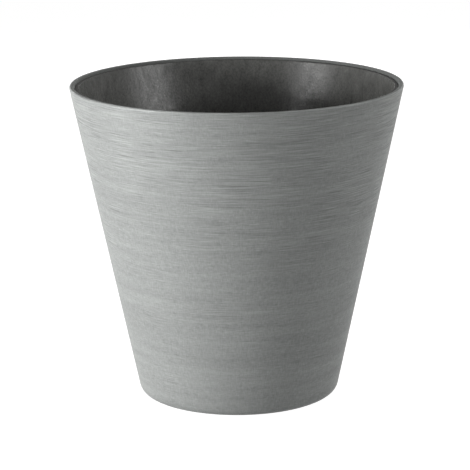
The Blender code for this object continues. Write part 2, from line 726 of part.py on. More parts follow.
def build_separator_plate(frame):
    skirt_top = PLATE_TOP + PLATE_SKIRT_HEIGHT

    def edge(z):
        return liner_inner(z) - PLATE_CLEARANCE

    corners = [
        (edge(skirt_top), skirt_top, 0),
        (edge(PLATE_BOTTOM), PLATE_BOTTOM, 0),
        (0, PLATE_BOTTOM, 0),
    ]
    inside = [
        (0, PLATE_TOP, 0),
        (edge(PLATE_TOP) - PLATE_SKIRT_WALL, PLATE_TOP, 0),
        (edge(skirt_top) - PLATE_SKIRT_WALL, skirt_top, 0),
    ]
    plate = turned_solid("separator_plate", inside + corners, BLACK, frame, LARGE_STEPS)
    boolean(plate, "UNION", helper("plate_sockets", mesh_of("plate_sockets", add_sockets), frame))
    boolean(plate, "DIFFERENCE", helper("plate_holes", mesh_of("plate_holes", add_plate_holes), frame))


def add_sockets(bm):
    root = (PLATE_BOTTOM + PLATE_TOP) / 2
    add_cylinder(bm, FILL_SOCKET_RADIUS, root, SOCKET_TOP, FILL_X, FILL_Y)
    add_cylinder(bm, GAUGE_SOCKET_RADIUS, root, SOCKET_TOP, GAUGE_X, GAUGE_Y)


def add_plate_holes(bm):
    low = PLATE_BOTTOM - CUT_THROUGH
    high = SOCKET_TOP + CUT_THROUGH
    for angle in CUP_ANGLES.values():
        x, y = cup_place(angle)
        add_cylinder(bm, CUP_HOLE_RADIUS, low, high, x, y)
    add_cylinder(bm, FILL_HOLE_RADIUS, low, high, FILL_X, FILL_Y)
    add_cylinder(bm, GAUGE_HOLE_RADIUS, low, high, GAUGE_X, GAUGE_Y)
    for x, y in perforations():
        add_cylinder(bm, PERFORATION_DIAMETER / 2, low, PLATE_TOP + CUT_THROUGH, x, y, HOLE_STEPS)


def cup_place(angle):
    return CUP_DISTANCE * math.cos(angle), CUP_DISTANCE * math.sin(angle)


def perforations():
    """Holes on evenly spaced rings about the plate's centre, wherever the plate is free."""
    taken = [(*cup_place(angle), CUP_FLANGE_RADIUS) for angle in CUP_ANGLES.values()]
    taken.append((FILL_X, FILL_Y, FILL_SOCKET_RADIUS))
    taken.append((GAUGE_X, GAUGE_Y, GAUGE_SOCKET_RADIUS))
    clear = PERFORATION_DIAMETER / 2 + PERFORATION_MARGIN
    outermost = min(PLATE_ROOM, reservoir_inner(LEDGE_TOP)) - clear
    places = []
    for ring in range(1, PERFORATION_RINGS + 1):
        radius = outermost * ring / PERFORATION_RINGS
        count = PERFORATIONS_IN_FIRST_RING * ring
        for k in range(count):
            angle = REAR + math.tau * (k + 0.5) / count
            x = radius * math.cos(angle)
            y = radius * math.sin(angle)
            if all(math.hypot(x - tx, y - ty) > tr + clear for tx, ty, tr in taken):
                places.append((x, y))
    return places


# Soil cups that hang from the plate into the water

def build_wick_cup(name, angle, frame):
    x, y = cup_place(angle)
    flange_top = CUP_FLANGE_BOTTOM + CUP_FLANGE_THICKNESS
    floor_top = CUP_BOTTOM + CUP_WALL
    corners = [
        (0, floor_top, 0),
        (CUP_BOTTOM_RADIUS - CUP_WALL, floor_top, CUP_WALL),
        (CUP_TOP_RADIUS - CUP_WALL, flange_top, 0),
        (CUP_FLANGE_RADIUS, flange_top, 0),
        (CUP_FLANGE_RADIUS, CUP_FLANGE_BOTTOM, 0),
        (CUP_TOP_RADIUS, CUP_FLANGE_BOTTOM, 0),
        (CUP_TOP_RADIUS, PLATE_BOTTOM, 0),
        (CUP_BOTTOM_RADIUS, CUP_BOTTOM, CUP_WALL),
        (0, CUP_BOTTOM, 0),
    ]
    cup = turned_solid(name, corners, BLACK, frame, SMALL_STEPS, x, y)
    slots = helper(f"{name}_slots", mesh_of(f"{name}_slots", add_cup_slots), frame, x, y)
    boolean(cup, "DIFFERENCE", slots)


def add_cup_slots(bm):
    """Bars that cross the cup's wall, one for each slot, turned clear of the wall's own facets."""
    bottom = CUP_BOTTOM + CUP_WALL + CUP_SLOT_WIDTH
    inner = CUP_BOTTOM_RADIUS / 2
    outer = CUP_TOP_RADIUS + CUT_THROUGH
    half = CUP_SLOT_WIDTH / 2
    for k in range(CUP_SLOT_COUNT):
        angle = math.tau * (k + 0.5) / CUP_SLOT_COUNT
        add_box(bm, (inner, -half, bottom), (outer, half, bottom + CUP_SLOT_HEIGHT), angle)
    low = CUP_BOTTOM - CUT_THROUGH
    high = CUP_BOTTOM + CUP_WALL + CUT_THROUGH
    add_cylinder(bm, CUP_DRAIN_DIAMETER / 2, low, high, steps=HOLE_STEPS)


# Fill tube with its bell mouth and hinge ears

def build_fill_tube(frame):
    flange_top = TUBE_FLANGE_BOTTOM + FILL_FLANGE_THICKNESS
    corners = [
        (0, FILL_MOUTH_TOP, 0),
        (FILL_MOUTH_RADIUS, FILL_MOUTH_TOP, 0),
        (FILL_MOUTH_RADIUS, BELL_TOP, FILL_WALL),
        (FILL_RADIUS, BELL_BOTTOM, FILL_WALL),
        (FILL_RADIUS, flange_top, 0),
        (FILL_SOCKET_RADIUS, flange_top, 0),
        (FILL_SOCKET_RADIUS, TUBE_FLANGE_BOTTOM, 0),
        (FILL_RADIUS, TUBE_FLANGE_BOTTOM, 0),
        (FILL_RADIUS, FILL_BOTTOM, 0),
        (0, FILL_BOTTOM, 0),
    ]
    tube = turned_solid("fill_tube", corners, BLACK, frame, SMALL_STEPS, FILL_X, FILL_Y)
    for side, word in ((-1, "left"), (1, "right")):
        name = f"hinge_arm_{word}"
        boolean(tube, "UNION", helper(name, mesh_of(name, lambda bm: add_ear_arm(bm, side)), frame))
        name = f"hinge_post_{word}"
        boolean(tube, "UNION", helper(name, mesh_of(name, lambda bm: add_ear_post(bm, side)), frame))
        name = f"hinge_roll_{word}"
        boolean(tube, "UNION", helper(name, mesh_of(name, lambda bm: add_ear_roll(bm, side)), frame))
    boolean(tube, "DIFFERENCE", fill_bore(frame))
    boolean(tube, "DIFFERENCE", helper("ear_bore", mesh_of("ear_bore", add_hinge_bore), frame))


def fill_bore(frame):
    """The hollow of the fill tube, which widens into its mouth."""
    corners = [
        (0, FILL_MOUTH_TOP + CUT_THROUGH, 0),
        (FILL_MOUTH_BORE / 2, FILL_MOUTH_TOP + CUT_THROUGH, 0),
        (FILL_MOUTH_BORE / 2, BELL_TOP, FILL_WALL),
        (FILL_BORE / 2, BELL_BOTTOM, FILL_WALL),
        (FILL_BORE / 2, FILL_BOTTOM - CUT_THROUGH, 0),
        (0, FILL_BOTTOM - CUT_THROUGH, 0),
    ]
    bore = helper("fill_bore", profile_mesh("fill_bore", corners, False), frame, FILL_X, FILL_Y)
    return turn(bore, SMALL_STEPS)


def ear_span(side):
    """Left and right faces of the hinge ear on one side of the lid's knuckle."""
    near = HINGE_KNUCKLE_WIDTH / 2 + HINGE_SIDE_GAP
    far = near + HINGE_EAR_WIDTH
    return sorted((FILL_X + side * near, FILL_X + side * far))


def add_ear_arm(bm, side):
    """The arm that reaches back from the mouth. The bore trims its front end."""
    left, right = ear_span(side)
    back = HINGE_Y - HINGE_KNUCKLE_RADIUS
    front = FILL_Y - FILL_BORE / 2
    add_box(bm, (left, back, HINGE_ARM_TOP - HINGE_ARM_HEIGHT), (right, front, HINGE_ARM_TOP))


def add_ear_post(bm, side):
    """The post under the ear's round end, narrower than the arm so that no faces coincide."""
    left, right = ear_span(side)
    half = HINGE_KNUCKLE_RADIUS - HINGE_INSET
    low = (left + HINGE_INSET, HINGE_Y - half, HINGE_ARM_TOP - HINGE_ARM_HEIGHT / 2)
    add_box(bm, low, (right - HINGE_INSET, HINGE_Y + half, HINGE_HEIGHT))


def add_ear_roll(bm, side):
    left, right = ear_span(side)
    inset = HINGE_INSET / 2
    add_cross_cylinder(bm, HINGE_KNUCKLE_RADIUS, left + inset, right - inset, HINGE_Y, HINGE_HEIGHT)


def add_hinge_bore(bm):
    left = ear_span(-1)[0] - CUT_THROUGH
    right = ear_span(1)[1] + CUT_THROUGH
    add_cross_cylinder(bm, HINGE_BORE_RADIUS, left, right, HINGE_Y, HINGE_HEIGHT, PIN_STEPS)


def build_hinge_pin(frame):
    left = ear_span(-1)[0]
    right = ear_span(1)[1]

    def build(bm):
        add_cross_cylinder(bm, HINGE_PIN_RADIUS, left, right, HINGE_Y, HINGE_HEIGHT, PIN_STEPS)

    piece("lid_hinge_pin", smooth(mesh_of("lid_hinge_pin", build)), PIN_STEEL, frame)


# Flip lid, with a ring that drops into the mouth, a knuckle on the pin and a finger tab

def build_fill_lid(frame):
    ring_bottom = LID_BOTTOM - LID_RING_DEPTH
    ring_inner = LID_RING_RADIUS - LID_RING_WALL
    corners = [
        (0, LID_TOP, 0),
        (LID_RADIUS, LID_TOP, LID_RIM_ROUND),
        (LID_RADIUS, LID_BOTTOM, 0),
        (LID_RING_RADIUS, LID_BOTTOM, 0),
        (LID_RING_RADIUS, ring_bottom, 0),
        (ring_inner, ring_bottom, 0),
        (ring_inner, LID_BOTTOM, 0),
        (0, LID_BOTTOM, 0),
    ]
    lid = turned_solid("fill_lid", corners, BLACK, frame, SMALL_STEPS, FILL_X, FILL_Y)
    boolean(lid, "UNION", helper("lid_tab", mesh_of("lid_tab", add_lid_tab), frame))
    boolean(lid, "UNION", helper("lid_tongue", mesh_of("lid_tongue", add_lid_tongue), frame))
    boolean(lid, "UNION", helper("lid_knuckle", mesh_of("lid_knuckle", add_lid_knuckle), frame))
    boolean(lid, "DIFFERENCE", helper("lid_bore", mesh_of("lid_bore", add_hinge_bore), frame))


def lid_plate_heights():
    """Heights of the tab and tongue, just inside the lid's own faces."""
    inset = LID_THICKNESS / 6
    return LID_BOTTOM + inset, LID_TOP - inset


def add_lid_tab(bm):
    low, high = lid_plate_heights()
    back = FILL_Y + LID_RADIUS / 2
    front = FILL_Y + LID_RADIUS + LID_TAB_LENGTH
    add_box(bm, (FILL_X - LID_TAB_WIDTH / 2, back, low), (FILL_X + LID_TAB_WIDTH / 2, front, high))


def add_lid_tongue(bm):
    low, high = lid_plate_heights()
    half = HINGE_KNUCKLE_WIDTH / 2 - HINGE_SIDE_GAP / 2
    add_box(bm, (FILL_X - half, HINGE_Y, low), (FILL_X + half, FILL_Y - LID_RADIUS / 2, high))


def add_lid_knuckle(bm):
    half = HINGE_KNUCKLE_WIDTH / 2
    add_cross_cylinder(bm, HINGE_KNUCKLE_RADIUS, FILL_X - half, FILL_X + half, HINGE_Y, HINGE_HEIGHT)


# Float gauge: a tube with water inlets, a clear window, and a float that lifts a flag on a rod

def build_gauge_tube(frame):
    flange_top = TUBE_FLANGE_BOTTOM + GAUGE_FLANGE_THICKNESS
    floor_top = GAUGE_BOTTOM + GAUGE_WALL
    corners = [
        (0, floor_top, 0),
        (GAUGE_BORE / 2, floor_top, 0),
        (GAUGE_BORE / 2, GAUGE_TOP, 0),
        (GAUGE_RADIUS, GAUGE_TOP, 0),
        (GAUGE_RADIUS, flange_top, 0),
        (GAUGE_SOCKET_RADIUS, flange_top, 0),
        (GAUGE_SOCKET_RADIUS, TUBE_FLANGE_BOTTOM, 0),
        (GAUGE_RADIUS, TUBE_FLANGE_BOTTOM, 0),
        (GAUGE_RADIUS, GAUGE_BOTTOM, GAUGE_WALL / 2),
        (0, GAUGE_BOTTOM, 0),
    ]
    tube = turned_solid("gauge_tube", corners, BLACK, frame, GAUGE_STEPS, GAUGE_X, GAUGE_Y)
    inlets = helper("gauge_inlets", mesh_of("gauge_inlets", add_gauge_inlets), frame, GAUGE_X, GAUGE_Y)
    boolean(tube, "DIFFERENCE", inlets)


def add_gauge_inlets(bm):
    bottom = GAUGE_BOTTOM + GAUGE_WALL + GAUGE_INLET_WIDTH
    inner = GAUGE_BORE / 4
    outer = GAUGE_RADIUS + CUT_THROUGH
    half = GAUGE_INLET_WIDTH / 2
    for k in range(GAUGE_INLET_COUNT):
        angle = math.tau * (k + 0.5) / GAUGE_INLET_COUNT
        add_box(bm, (inner, -half, bottom), (outer, half, bottom + GAUGE_INLET_HEIGHT), angle)


def build_gauge_window(frame):
    shoulder = GAUGE_TOP + SEAT_GAP
    corners = [
        (0, WINDOW_TOP, 0),
        (WINDOW_RADIUS, WINDOW_TOP, WINDOW_TOP_ROUND),
        (WINDOW_RADIUS, WINDOW_BOTTOM, 0),
        (WINDOW_BORE_RADIUS, WINDOW_BOTTOM, 0),
        (WINDOW_BORE_RADIUS, shoulder, 0),
        (GAUGE_BORE / 2, shoulder, 0),
        (GAUGE_BORE / 2, WINDOW_TOP - WINDOW_WALL, WINDOW_TOP_ROUND / 2),
        (0, WINDOW_TOP - WINDOW_WALL, 0),
    ]
    turned_solid("gauge_window", corners, CLEAR, frame, GAUGE_STEPS, GAUGE_X, GAUGE_Y)


def build_float(frame):
    socket_floor = FLOAT_TOP - ROD_SOCKET_DEPTH
    corners = [
        (0, socket_floor, 0),
        (ROD_SOCKET_RADIUS, socket_floor, 0),
        (ROD_SOCKET_RADIUS, FLOAT_TOP, 0),
        (FLOAT_RADIUS, FLOAT_TOP, FLOAT_ROUND),
        (FLOAT_RADIUS, FLOAT_BOTTOM, FLOAT_ROUND),
        (0, FLOAT_BOTTOM, 0),
    ]
    turned_solid("gauge_float", corners, FOAM, frame, GAUGE_STEPS, GAUGE_X, GAUGE_Y)


def build_rod(frame):
    bottom = FLOAT_TOP - ROD_SOCKET_DEPTH + SEAT_GAP
    top = FLAG_BOTTOM + ROD_SOCKET_DEPTH - SEAT_GAP

    def build(bm):
        add_cylinder(bm, ROD_RADIUS, bottom, top, steps=PIN_STEPS)

    piece("gauge_rod", smooth(mesh_of("gauge_rod", build)), BLACK, frame, GAUGE_X, GAUGE_Y)


def build_flag(frame):
    socket_top = FLAG_BOTTOM + ROD_SOCKET_DEPTH
    corners = [
        (0, FLAG_TOP, 0),
        (FLAG_RADIUS, FLAG_TOP, FLAG_ROUND),
        (FLAG_RADIUS, FLAG_BOTTOM, 0),
        (ROD_SOCKET_RADIUS, FLAG_BOTTOM, 0),
        (ROD_SOCKET_RADIUS, socket_top, 0),
        (0, socket_top, 0),
    ]
    turned_solid("gauge_flag", corners, RED, frame, GAUGE_STEPS, GAUGE_X, GAUGE_Y)


# Assembly: one frame for each body, on the axis that it moves along or about

def build_planter():
    pot = frame_at("pot_frame", 0.0)
    build_outer_pot(pot)

    liner = frame_at("liner_frame", LINER_SEAT, pot)
    build_liner(liner)
    for name, side in (("liner_handle_left", -1), ("liner_handle_right", 1)):
        slide_x = side * handle_strap_outer(HANDLE_TOP)
        build_handle(name, side, frame_at(f"{name}_frame", HANDLE_TOP, liner, slide_x))
    seal = frame_at("seal_frame", SEAL_CENTRE, liner)
    build_drain_seal(seal)
    build_drain_plug(frame_at("plug_frame", PLUG_FLANGE_TOP, seal))

    insert = frame_at("insert_frame", PLATE_BOTTOM, liner)
    build_separator_plate(insert)
    for name, angle in CUP_ANGLES.items():
        build_wick_cup(name, angle, insert)
    build_fill_tube(insert)
    build_hinge_pin(insert)
    build_gauge_tube(insert)
    build_gauge_window(insert)
    build_fill_lid(frame_at("lid_frame", HINGE_HEIGHT, insert, FILL_X, HINGE_Y))

    gauge = frame_at("float_frame", FLOAT_BOTTOM, insert, GAUGE_X, GAUGE_Y)
    build_float(gauge)
    build_rod(gauge)
    build_flag(gauge)


build_planter()
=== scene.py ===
import math

import bpy
from mathutils import Matrix, Vector


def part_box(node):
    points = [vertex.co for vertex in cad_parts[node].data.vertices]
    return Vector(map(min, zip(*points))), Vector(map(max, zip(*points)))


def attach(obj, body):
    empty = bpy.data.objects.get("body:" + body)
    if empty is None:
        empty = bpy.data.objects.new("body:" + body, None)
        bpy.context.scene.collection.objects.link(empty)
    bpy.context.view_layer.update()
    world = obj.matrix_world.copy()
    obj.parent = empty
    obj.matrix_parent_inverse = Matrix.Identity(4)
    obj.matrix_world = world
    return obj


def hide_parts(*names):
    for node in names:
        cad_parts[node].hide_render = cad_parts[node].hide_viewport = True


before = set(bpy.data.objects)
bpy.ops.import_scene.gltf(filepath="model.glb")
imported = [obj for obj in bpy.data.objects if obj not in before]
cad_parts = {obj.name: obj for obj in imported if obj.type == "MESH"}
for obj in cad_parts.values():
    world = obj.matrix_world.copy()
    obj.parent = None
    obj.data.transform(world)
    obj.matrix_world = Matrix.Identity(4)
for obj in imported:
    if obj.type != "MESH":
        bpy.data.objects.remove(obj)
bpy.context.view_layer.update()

MM = 0.001


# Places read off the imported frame

def bottom(node):
    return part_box(node)[0].z


def top(node):
    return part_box(node)[1].z


def middle(node):
    low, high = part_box(node)
    return (low + high) / 2


def axis_of(node):
    return tuple(middle(node).xy)


def half_width(node):
    low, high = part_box(node)
    return (high.x - low.x) / 2


# Outer pot
POT_HEIGHT = top("outer_pot")
POT_RIM_RADIUS = 150 * MM
POT_BASE_RADIUS = 90 * MM
POT_WALL = 4.5 * MM
POT_RIM_ROUND = 1.3 * MM
RIM_EDGE_START = 1.1 * MM
RIM_EDGE_END = 1.6 * MM
POT_BASE_ROUND = 9 * MM
POT_INSIDE_ROUND = 5 * MM
POT_FLOOR_TOP = 8 * MM
POT_FOOT_HEIGHT = 4 * MM
POT_FOOT_WIDTH = 12 * MM
POT_FOOT_ROUND = 1 * MM
ACCESS_RADIUS = 27 * MM
COLLAR_WIDTH = 3 * MM
COLLAR_BOTTOM = 1.5 * MM
BASE_RIB_COUNT = 12
BASE_RIB_WIDTH = 2.4 * MM
BASE_RIB_BOTTOM = 2 * MM
BASE_RIB_EDGE = 0.48 * MM

# Liner
LINER_SEAT = bottom("liner")
LINER_TOP = top("liner")
LINER_WALL = 2.2 * MM
LINER_GAP = 1.2 * MM
LINER_LIP_CLEARANCE = 0.4 * MM
LINER_LIP_HEIGHT = 6 * MM
LINER_LIP_ROUND = 0.7 * MM
LINER_EDGE_ROUND = 0.5 * MM
LINER_FOOT_HEIGHT = 5 * MM
LINER_FLOOR = 2.5 * MM
LINER_FOOT_INNER = 32 * MM
LINER_FOOT_WIDTH = 5 * MM
LINER_INSIDE_ROUND = 6 * MM
LINER_LEDGE = 5 * MM
RESERVOIR_DEPTH = 60 * MM
DRAIN_BORE_RADIUS = 11.3 * MM
BOSS_RADIUS = 14.3 * MM
BOSS_HEIGHT = 8 * MM

# Liner handles and their guides
HANDLE_TOP = top("liner_handle_left")
HANDLE_BOTTOM = bottom("liner_handle_left")
HANDLE_WIDTH = 86 * MM
HANDLE_BAR = 14 * MM
HANDLE_LEG = 10 * MM
HANDLE_THICKNESS = 3 * MM
HANDLE_WALL_GAP = 1 * MM
HANDLE_CORNER_ROUND = 6 * MM
HANDLE_INSIDE_ROUND = 0.75 * MM
HANDLE_STOP_HEIGHT = 6 * MM
HANDLE_STOP_REACH = 4 * MM
HANDLE_STOP_ROUND = 1.2 * MM
HANDLE_EDGE = 0.7 * MM
GRIP_RIB_COUNT = 7
GRIP_RIB_SPACING = 6 * MM
GRIP_RIB_WIDTH = 2 * MM
GRIP_RIB_RISE = 0.6 * MM
GRIP_RIB_EDGE = 0.54 * MM
GUIDE_TOP_GAP = 0.3 * MM
GUIDE_HEIGHT = 14 * MM
GUIDE_CHEEK = 3 * MM
GUIDE_BRIDGE = 2 * MM
GUIDE_CLEARANCE = 1.5 * MM
GUIDE_ROOT = 0.8 * MM
GUIDE_ROUND = 1.6 * MM
GUIDE_EDGE = 0.4 * MM
WRAP_STEP = 3 * MM

# Drain plug and seal
PLUG_BOTTOM = bottom("drain_plug")
PLUG_TOP = top("drain_plug")
PLUG_GRIP_LENGTH = 26 * MM
PLUG_GRIP_WIDTH = 6 * MM
PLUG_GRIP_HEIGHT = 5 * MM
PLUG_GRIP_EDGE = 1 * MM
PLUG_FLANGE_RADIUS = 18 * MM
PLUG_FLANGE_THICKNESS = 3 * MM
PLUG_FLANGE_ROUND = 0.8 * MM
PLUG_NECK_RADIUS = 10 * MM
THREAD_RADIUS = 0.9 * MM
THREAD_PITCH = 3 * MM
THREAD_TURNS = 2
SEAL_RADIUS = 13.3 * MM
SEAL_SECTION = 2.4 * MM

# Separator plate
PLATE_BOTTOM = bottom("separator_plate")
PLATE_SKIRT_TOP = top("separator_plate")
PLATE_THICKNESS = 3 * MM
PLATE_CLEARANCE = 1 * MM
PLATE_SKIRT_WALL = 2 * MM
PLATE_EDGE_ROUND = 0.5 * MM
CUP_HOLE_RADIUS = 22.3 * MM
HOLE_RADIUS = 3.5 * MM
HOLE_MARGIN = 3 * MM
HOLE_FLARE = 0.6 * MM
HOLE_RINGS = 5
HOLES_IN_FIRST_RING = 6

# Soil cups
CUP_BOTTOM = bottom("wick_cup_rear")
CUP_TOP = top("wick_cup_rear")
CUP_FLANGE_RADIUS = half_width("wick_cup_rear")
CUP_FLANGE_THICKNESS = 2 * MM
CUP_TOP_RADIUS = 22 * MM
CUP_BOTTOM_RADIUS = 17 * MM
CUP_WALL = 1.8 * MM
CUP_EDGE_ROUND = 0.5 * MM
CUP_SLOT_COUNT = 8
CUP_SLOT_WIDTH = 3 * MM
CUP_SLOT_HEIGHT = 30 * MM
CUP_DRAIN_RADIUS = 3.5 * MM
CUPS = ("wick_cup_rear", "wick_cup_left", "wick_cup_right")

# Fill tube, lid and hinge
FILL_BOTTOM = bottom("fill_tube")
FILL_RADIUS = 16 * MM
FILL_BORE = 14 * MM
FILL_SOCKET_RADIUS = 18.3 * MM
FILL_SOCKET_BORE = 16.3 * MM
FILL_FLANGE_THICKNESS = 2 * MM
FILL_MOUTH_RADIUS = half_width("fill_tube")
FILL_MOUTH_BORE = 18 * MM
FILL_MOUTH_HEIGHT = 14 * MM
FILL_BELL_HEIGHT = 4 * MM
FILL_BELL_ROUND = 2 * MM
FILL_LIP_ROUND = 0.7 * MM
FILL_X = middle("fill_tube").x
FILL_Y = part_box("fill_tube")[1].y - FILL_MOUTH_RADIUS
FILL_AXIS = (FILL_X, FILL_Y)
HINGE_Y = middle("lid_hinge_pin").y
HINGE_HEIGHT = middle("lid_hinge_pin").z
HINGE_KNUCKLE_RADIUS = 3.25 * MM
HINGE_KNUCKLE_HALF = 4 * MM
HINGE_BORE_RADIUS = 1.45 * MM
HINGE_PIN_RADIUS = 1.2 * MM
HINGE_SIDE_GAP = 0.4 * MM
HINGE_EAR_WIDTH = 4 * MM
HINGE_ARM_HEIGHT = 7 * MM
HINGE_ARM_STEP = 1.2 * MM
HINGE_INSET = 0.2 * MM
HINGE_EDGE = 0.3 * MM
LID_GAP = 0.3 * MM
LID_RADIUS = 20.8 * MM
LID_THICKNESS = 3 * MM
LID_RIM_ROUND = 1 * MM
LID_RING_RADIUS = 17.2 * MM
LID_RING_WALL = 1.6 * MM
LID_RING_DEPTH = 3 * MM
LID_TAB_LENGTH = 6 * MM
LID_TAB_WIDTH = 14 * MM
LID_TAB_EDGE = 0.8 * MM
LID_INSET = 0.5 * MM
DROP_RADIUS = 5 * MM
DROP_TIP = 10 * MM
DROP_RISE = 0.7 * MM

# Float gauge
GAUGE_AXIS = axis_of("gauge_tube")
GAUGE_BOTTOM = bottom("gauge_tube")
GAUGE_TOP = top("gauge_tube")
GAUGE_RADIUS = 10 * MM
GAUGE_BORE = 8.5 * MM
GAUGE_WALL = 1.5 * MM
GAUGE_SOCKET_RADIUS = 12.3 * MM
GAUGE_SOCKET_BORE = 10.3 * MM
GAUGE_FLANGE_THICKNESS = 2 * MM
GAUGE_EDGE_ROUND = 0.3 * MM
INLET_COUNT = 4
INLET_WIDTH = 4 * MM
INLET_HEIGHT = 26 * MM
TUBE_FLANGE_GAP = 0.3 * MM
WINDOW_BOTTOM = bottom("gauge_window")
WINDOW_TOP = top("gauge_window")
WINDOW_RADIUS = half_width("gauge_window")
WINDOW_BORE = 10.3 * MM
WINDOW_WALL = 1.6 * MM
WINDOW_SHOULDER_GAP = 0.3 * MM
WINDOW_TOP_ROUND = 4 * MM
WINDOW_EDGE_ROUND = 0.3 * MM
MARK_HEIGHT = 1 * MM
MARK_RISE = 0.15 * MM
MARK_SINK = 0.05 * MM
FLOAT_BOTTOM = bottom("gauge_float")
FLOAT_TOP = top("gauge_float")
FLOAT_RADIUS = half_width("gauge_float")
FLOAT_ROUND = 3 * MM
FLOAT_TRAVEL = 36 * MM
ROD_RADIUS = 1.5 * MM
ROD_SOCKET_RADIUS = 1.8 * MM
ROD_SOCKET_DEPTH = 8 * MM
FLAG_BOTTOM = bottom("gauge_flag")
FLAG_TOP = top("gauge_flag")
FLAG_RADIUS = half_width("gauge_flag")
FLAG_ROUND = 2 * MM
FLAG_EDGE_ROUND = 0.4 * MM

# Fineness of the modelled pieces
LARGE_STEPS = 180
TUBE_STEPS = 72
SMALL_STEPS = 48
HOLE_STEPS = 16
ARC_STEP = math.radians(11)
SUPPORT = 0.8 * MM
LONG_RUN = 24 * MM
MERGE = 0.002 * MM
SHARP = math.radians(32)
CUT_THROUGH = 2 * MM
BLOCK_STEPS = 3
SOFTEN_STEPS = 2
SOFTEN_ANGLE = math.radians(40)
SLOT_ROUND_SHARE = 0.45


# Walls of the pot and the liner, as radii at a height

TAPER = (POT_RIM_RADIUS - POT_BASE_RADIUS) / POT_HEIGHT


def pot_outer(z):
    return POT_BASE_RADIUS + TAPER * z


def pot_inner(z):
    return pot_outer(z) - POT_WALL


def liner_outer(z):
    return pot_inner(z) - LINER_GAP


def liner_inner(z):
    return liner_outer(z) - LINER_WALL


# Hand tools: selecting, drawing an outline, turning, cutting and joining

def select_only(*pieces):
    if bpy.context.mode != "OBJECT":
        bpy.ops.object.mode_set(mode="OBJECT")
    bpy.ops.object.select_all(action="DESELECT")
    for piece in pieces:
        piece.select_set(True)
        bpy.context.view_layer.objects.active = piece


def open_mesh(piece):
    select_only(piece)
    bpy.ops.object.mode_set(mode="EDIT")
    bpy.ops.mesh.select_mode(type="VERT")
    bpy.ops.mesh.select_all(action="SELECT")


def close_mesh():
    bpy.ops.object.mode_set(mode="OBJECT")


def just_added(name):
    """The primitive that was just added, named, with its place and size moved into its mesh."""
    piece = bpy.context.object
    piece.name = name
    piece.data.name = name
    bpy.ops.object.transform_apply(location=True, rotation=True, scale=True)
    return piece


def rounded(corners, closed):
    """Points of an outline of (across, up, round) corners, with an arc at each rounded corner."""
    points = []
    for i, (across, up, radius) in enumerate(corners):
        corner = Vector((across, up))
        at_end = not closed and i in (0, len(corners) - 1)
        if at_end or not radius:
            points.append(corner)
            continue
        before = (Vector(corners[i - 1][:2]) - corner).normalized()
        after = (Vector(corners[(i + 1) % len(corners)][:2]) - corner).normalized()
        half = before.angle(after) / 2
        centre = corner + (before + after).normalized() * radius / math.sin(half)
        start = corner + before * radius / math.tan(half) - centre
        sweep = math.pi - 2 * half
        if before.x * after.y > before.y * after.x:
            sweep = -sweep
        steps = max(2, round(abs(sweep) / ARC_STEP))
        for k in range(steps + 1):
            points.append(centre + Matrix.Rotation(sweep * k / steps, 2) @ start)
    return points


def supported(points):
    """The same points with support points near both ends of every straight run, and along long runs."""
    finer = [points[0]]
    for before, after in zip(points, points[1:]):
        length = (after - before).length
        if length > 4 * SUPPORT:
            count = max(1, round(length / LONG_RUN))
            inner = length - 2 * SUPPORT
            for k in range(count + 1):
                finer.append(before.lerp(after, (SUPPORT + inner * k / count) / length))
        finer.append(after)
    return finer


def drawn(name, points):
    """A chain of edges drawn point by point, left open in edit mode."""
    select_only()
    bpy.ops.mesh.primitive_plane_add(size=MM, location=points[0])
    piece = just_added(name)
    open_mesh(piece)
    bpy.ops.mesh.merge(type="CENTER")
    for before, after in zip(points, points[1:]):
        bpy.ops.mesh.extrude_region_move(TRANSFORM_OT_translate={"value": after - before})
    bpy.ops.mesh.select_all(action="SELECT")
    return piece


def tidy_shell():
    bpy.ops.mesh.select_all(action="SELECT")
    bpy.ops.mesh.remove_doubles(threshold=MERGE)
    bpy.ops.mesh.normals_make_consistent(inside=False)
    close_mesh()


def turned(name, corners, steps, axis=(0, 0), closed=False):
    """An outline of (radius, height, round) corners spun about an upright axis.
    A closed outline is a ring clear of that axis, and an open one starts and ends on it."""
    points = rounded(corners, closed)
    if closed:
        points.append(points[0])
    x, y = axis
    piece = drawn(name, [Vector((x + p.x, y, p.y)) for p in supported(points)])
    bpy.ops.mesh.spin(steps=steps, angle=math.tau, center=(x, y, 0), axis=(0, 0, 1))
    tidy_shell()
    return piece


def post_corners(radius, start, end, edge=0.0):
    """Corners of a plain round post between two heights."""
    return [(0, start, 0), (radius, start, edge), (radius, end, edge), (0, end, 0)]


def plate(name, points, depth):
    """A flat outline of points, filled and pulled out to a depth."""
    piece = drawn(name, points + points[:1])
    bpy.ops.mesh.remove_doubles(threshold=MERGE)
    bpy.ops.mesh.edge_face_add()
    bpy.ops.mesh.extrude_region_move(TRANSFORM_OT_translate={"value": depth})
    tidy_shell()
    return piece


def block(name, low, high, edge=0.0):
    """A box between two corners, with rounded edges."""
    low = Vector(low)
    high = Vector(high)
    select_only()
    bpy.ops.mesh.primitive_cube_add(size=1, location=(low + high) / 2, scale=high - low)
    piece = just_added(name)
    if edge:
        open_mesh(piece)
        bpy.ops.mesh.bevel(offset=edge, segments=BLOCK_STEPS, affect="EDGES")
        close_mesh()
    return piece


def shift(piece, step):
    open_mesh(piece)
    bpy.ops.transform.translate(value=step)
    close_mesh()


def turn_piece(piece, angle, axis="Z"):
    """Turns a piece by the right-hand rule about an axis of the scene. The operator turns the other way."""
    open_mesh(piece)
    bpy.ops.transform.rotate(value=-angle, orient_axis=axis, orient_type="GLOBAL", center_override=(0, 0, 0))
    close_mesh()


def copied(piece, name):
    """A copy with a mesh of its own."""
    select_only(piece)
    bpy.ops.object.duplicate()
    copy = bpy.context.object
    copy.name = name
    copy.data.name = name
    return copy


def joined(first, *others):
    select_only(*others, first)
    bpy.ops.object.join()
    return first


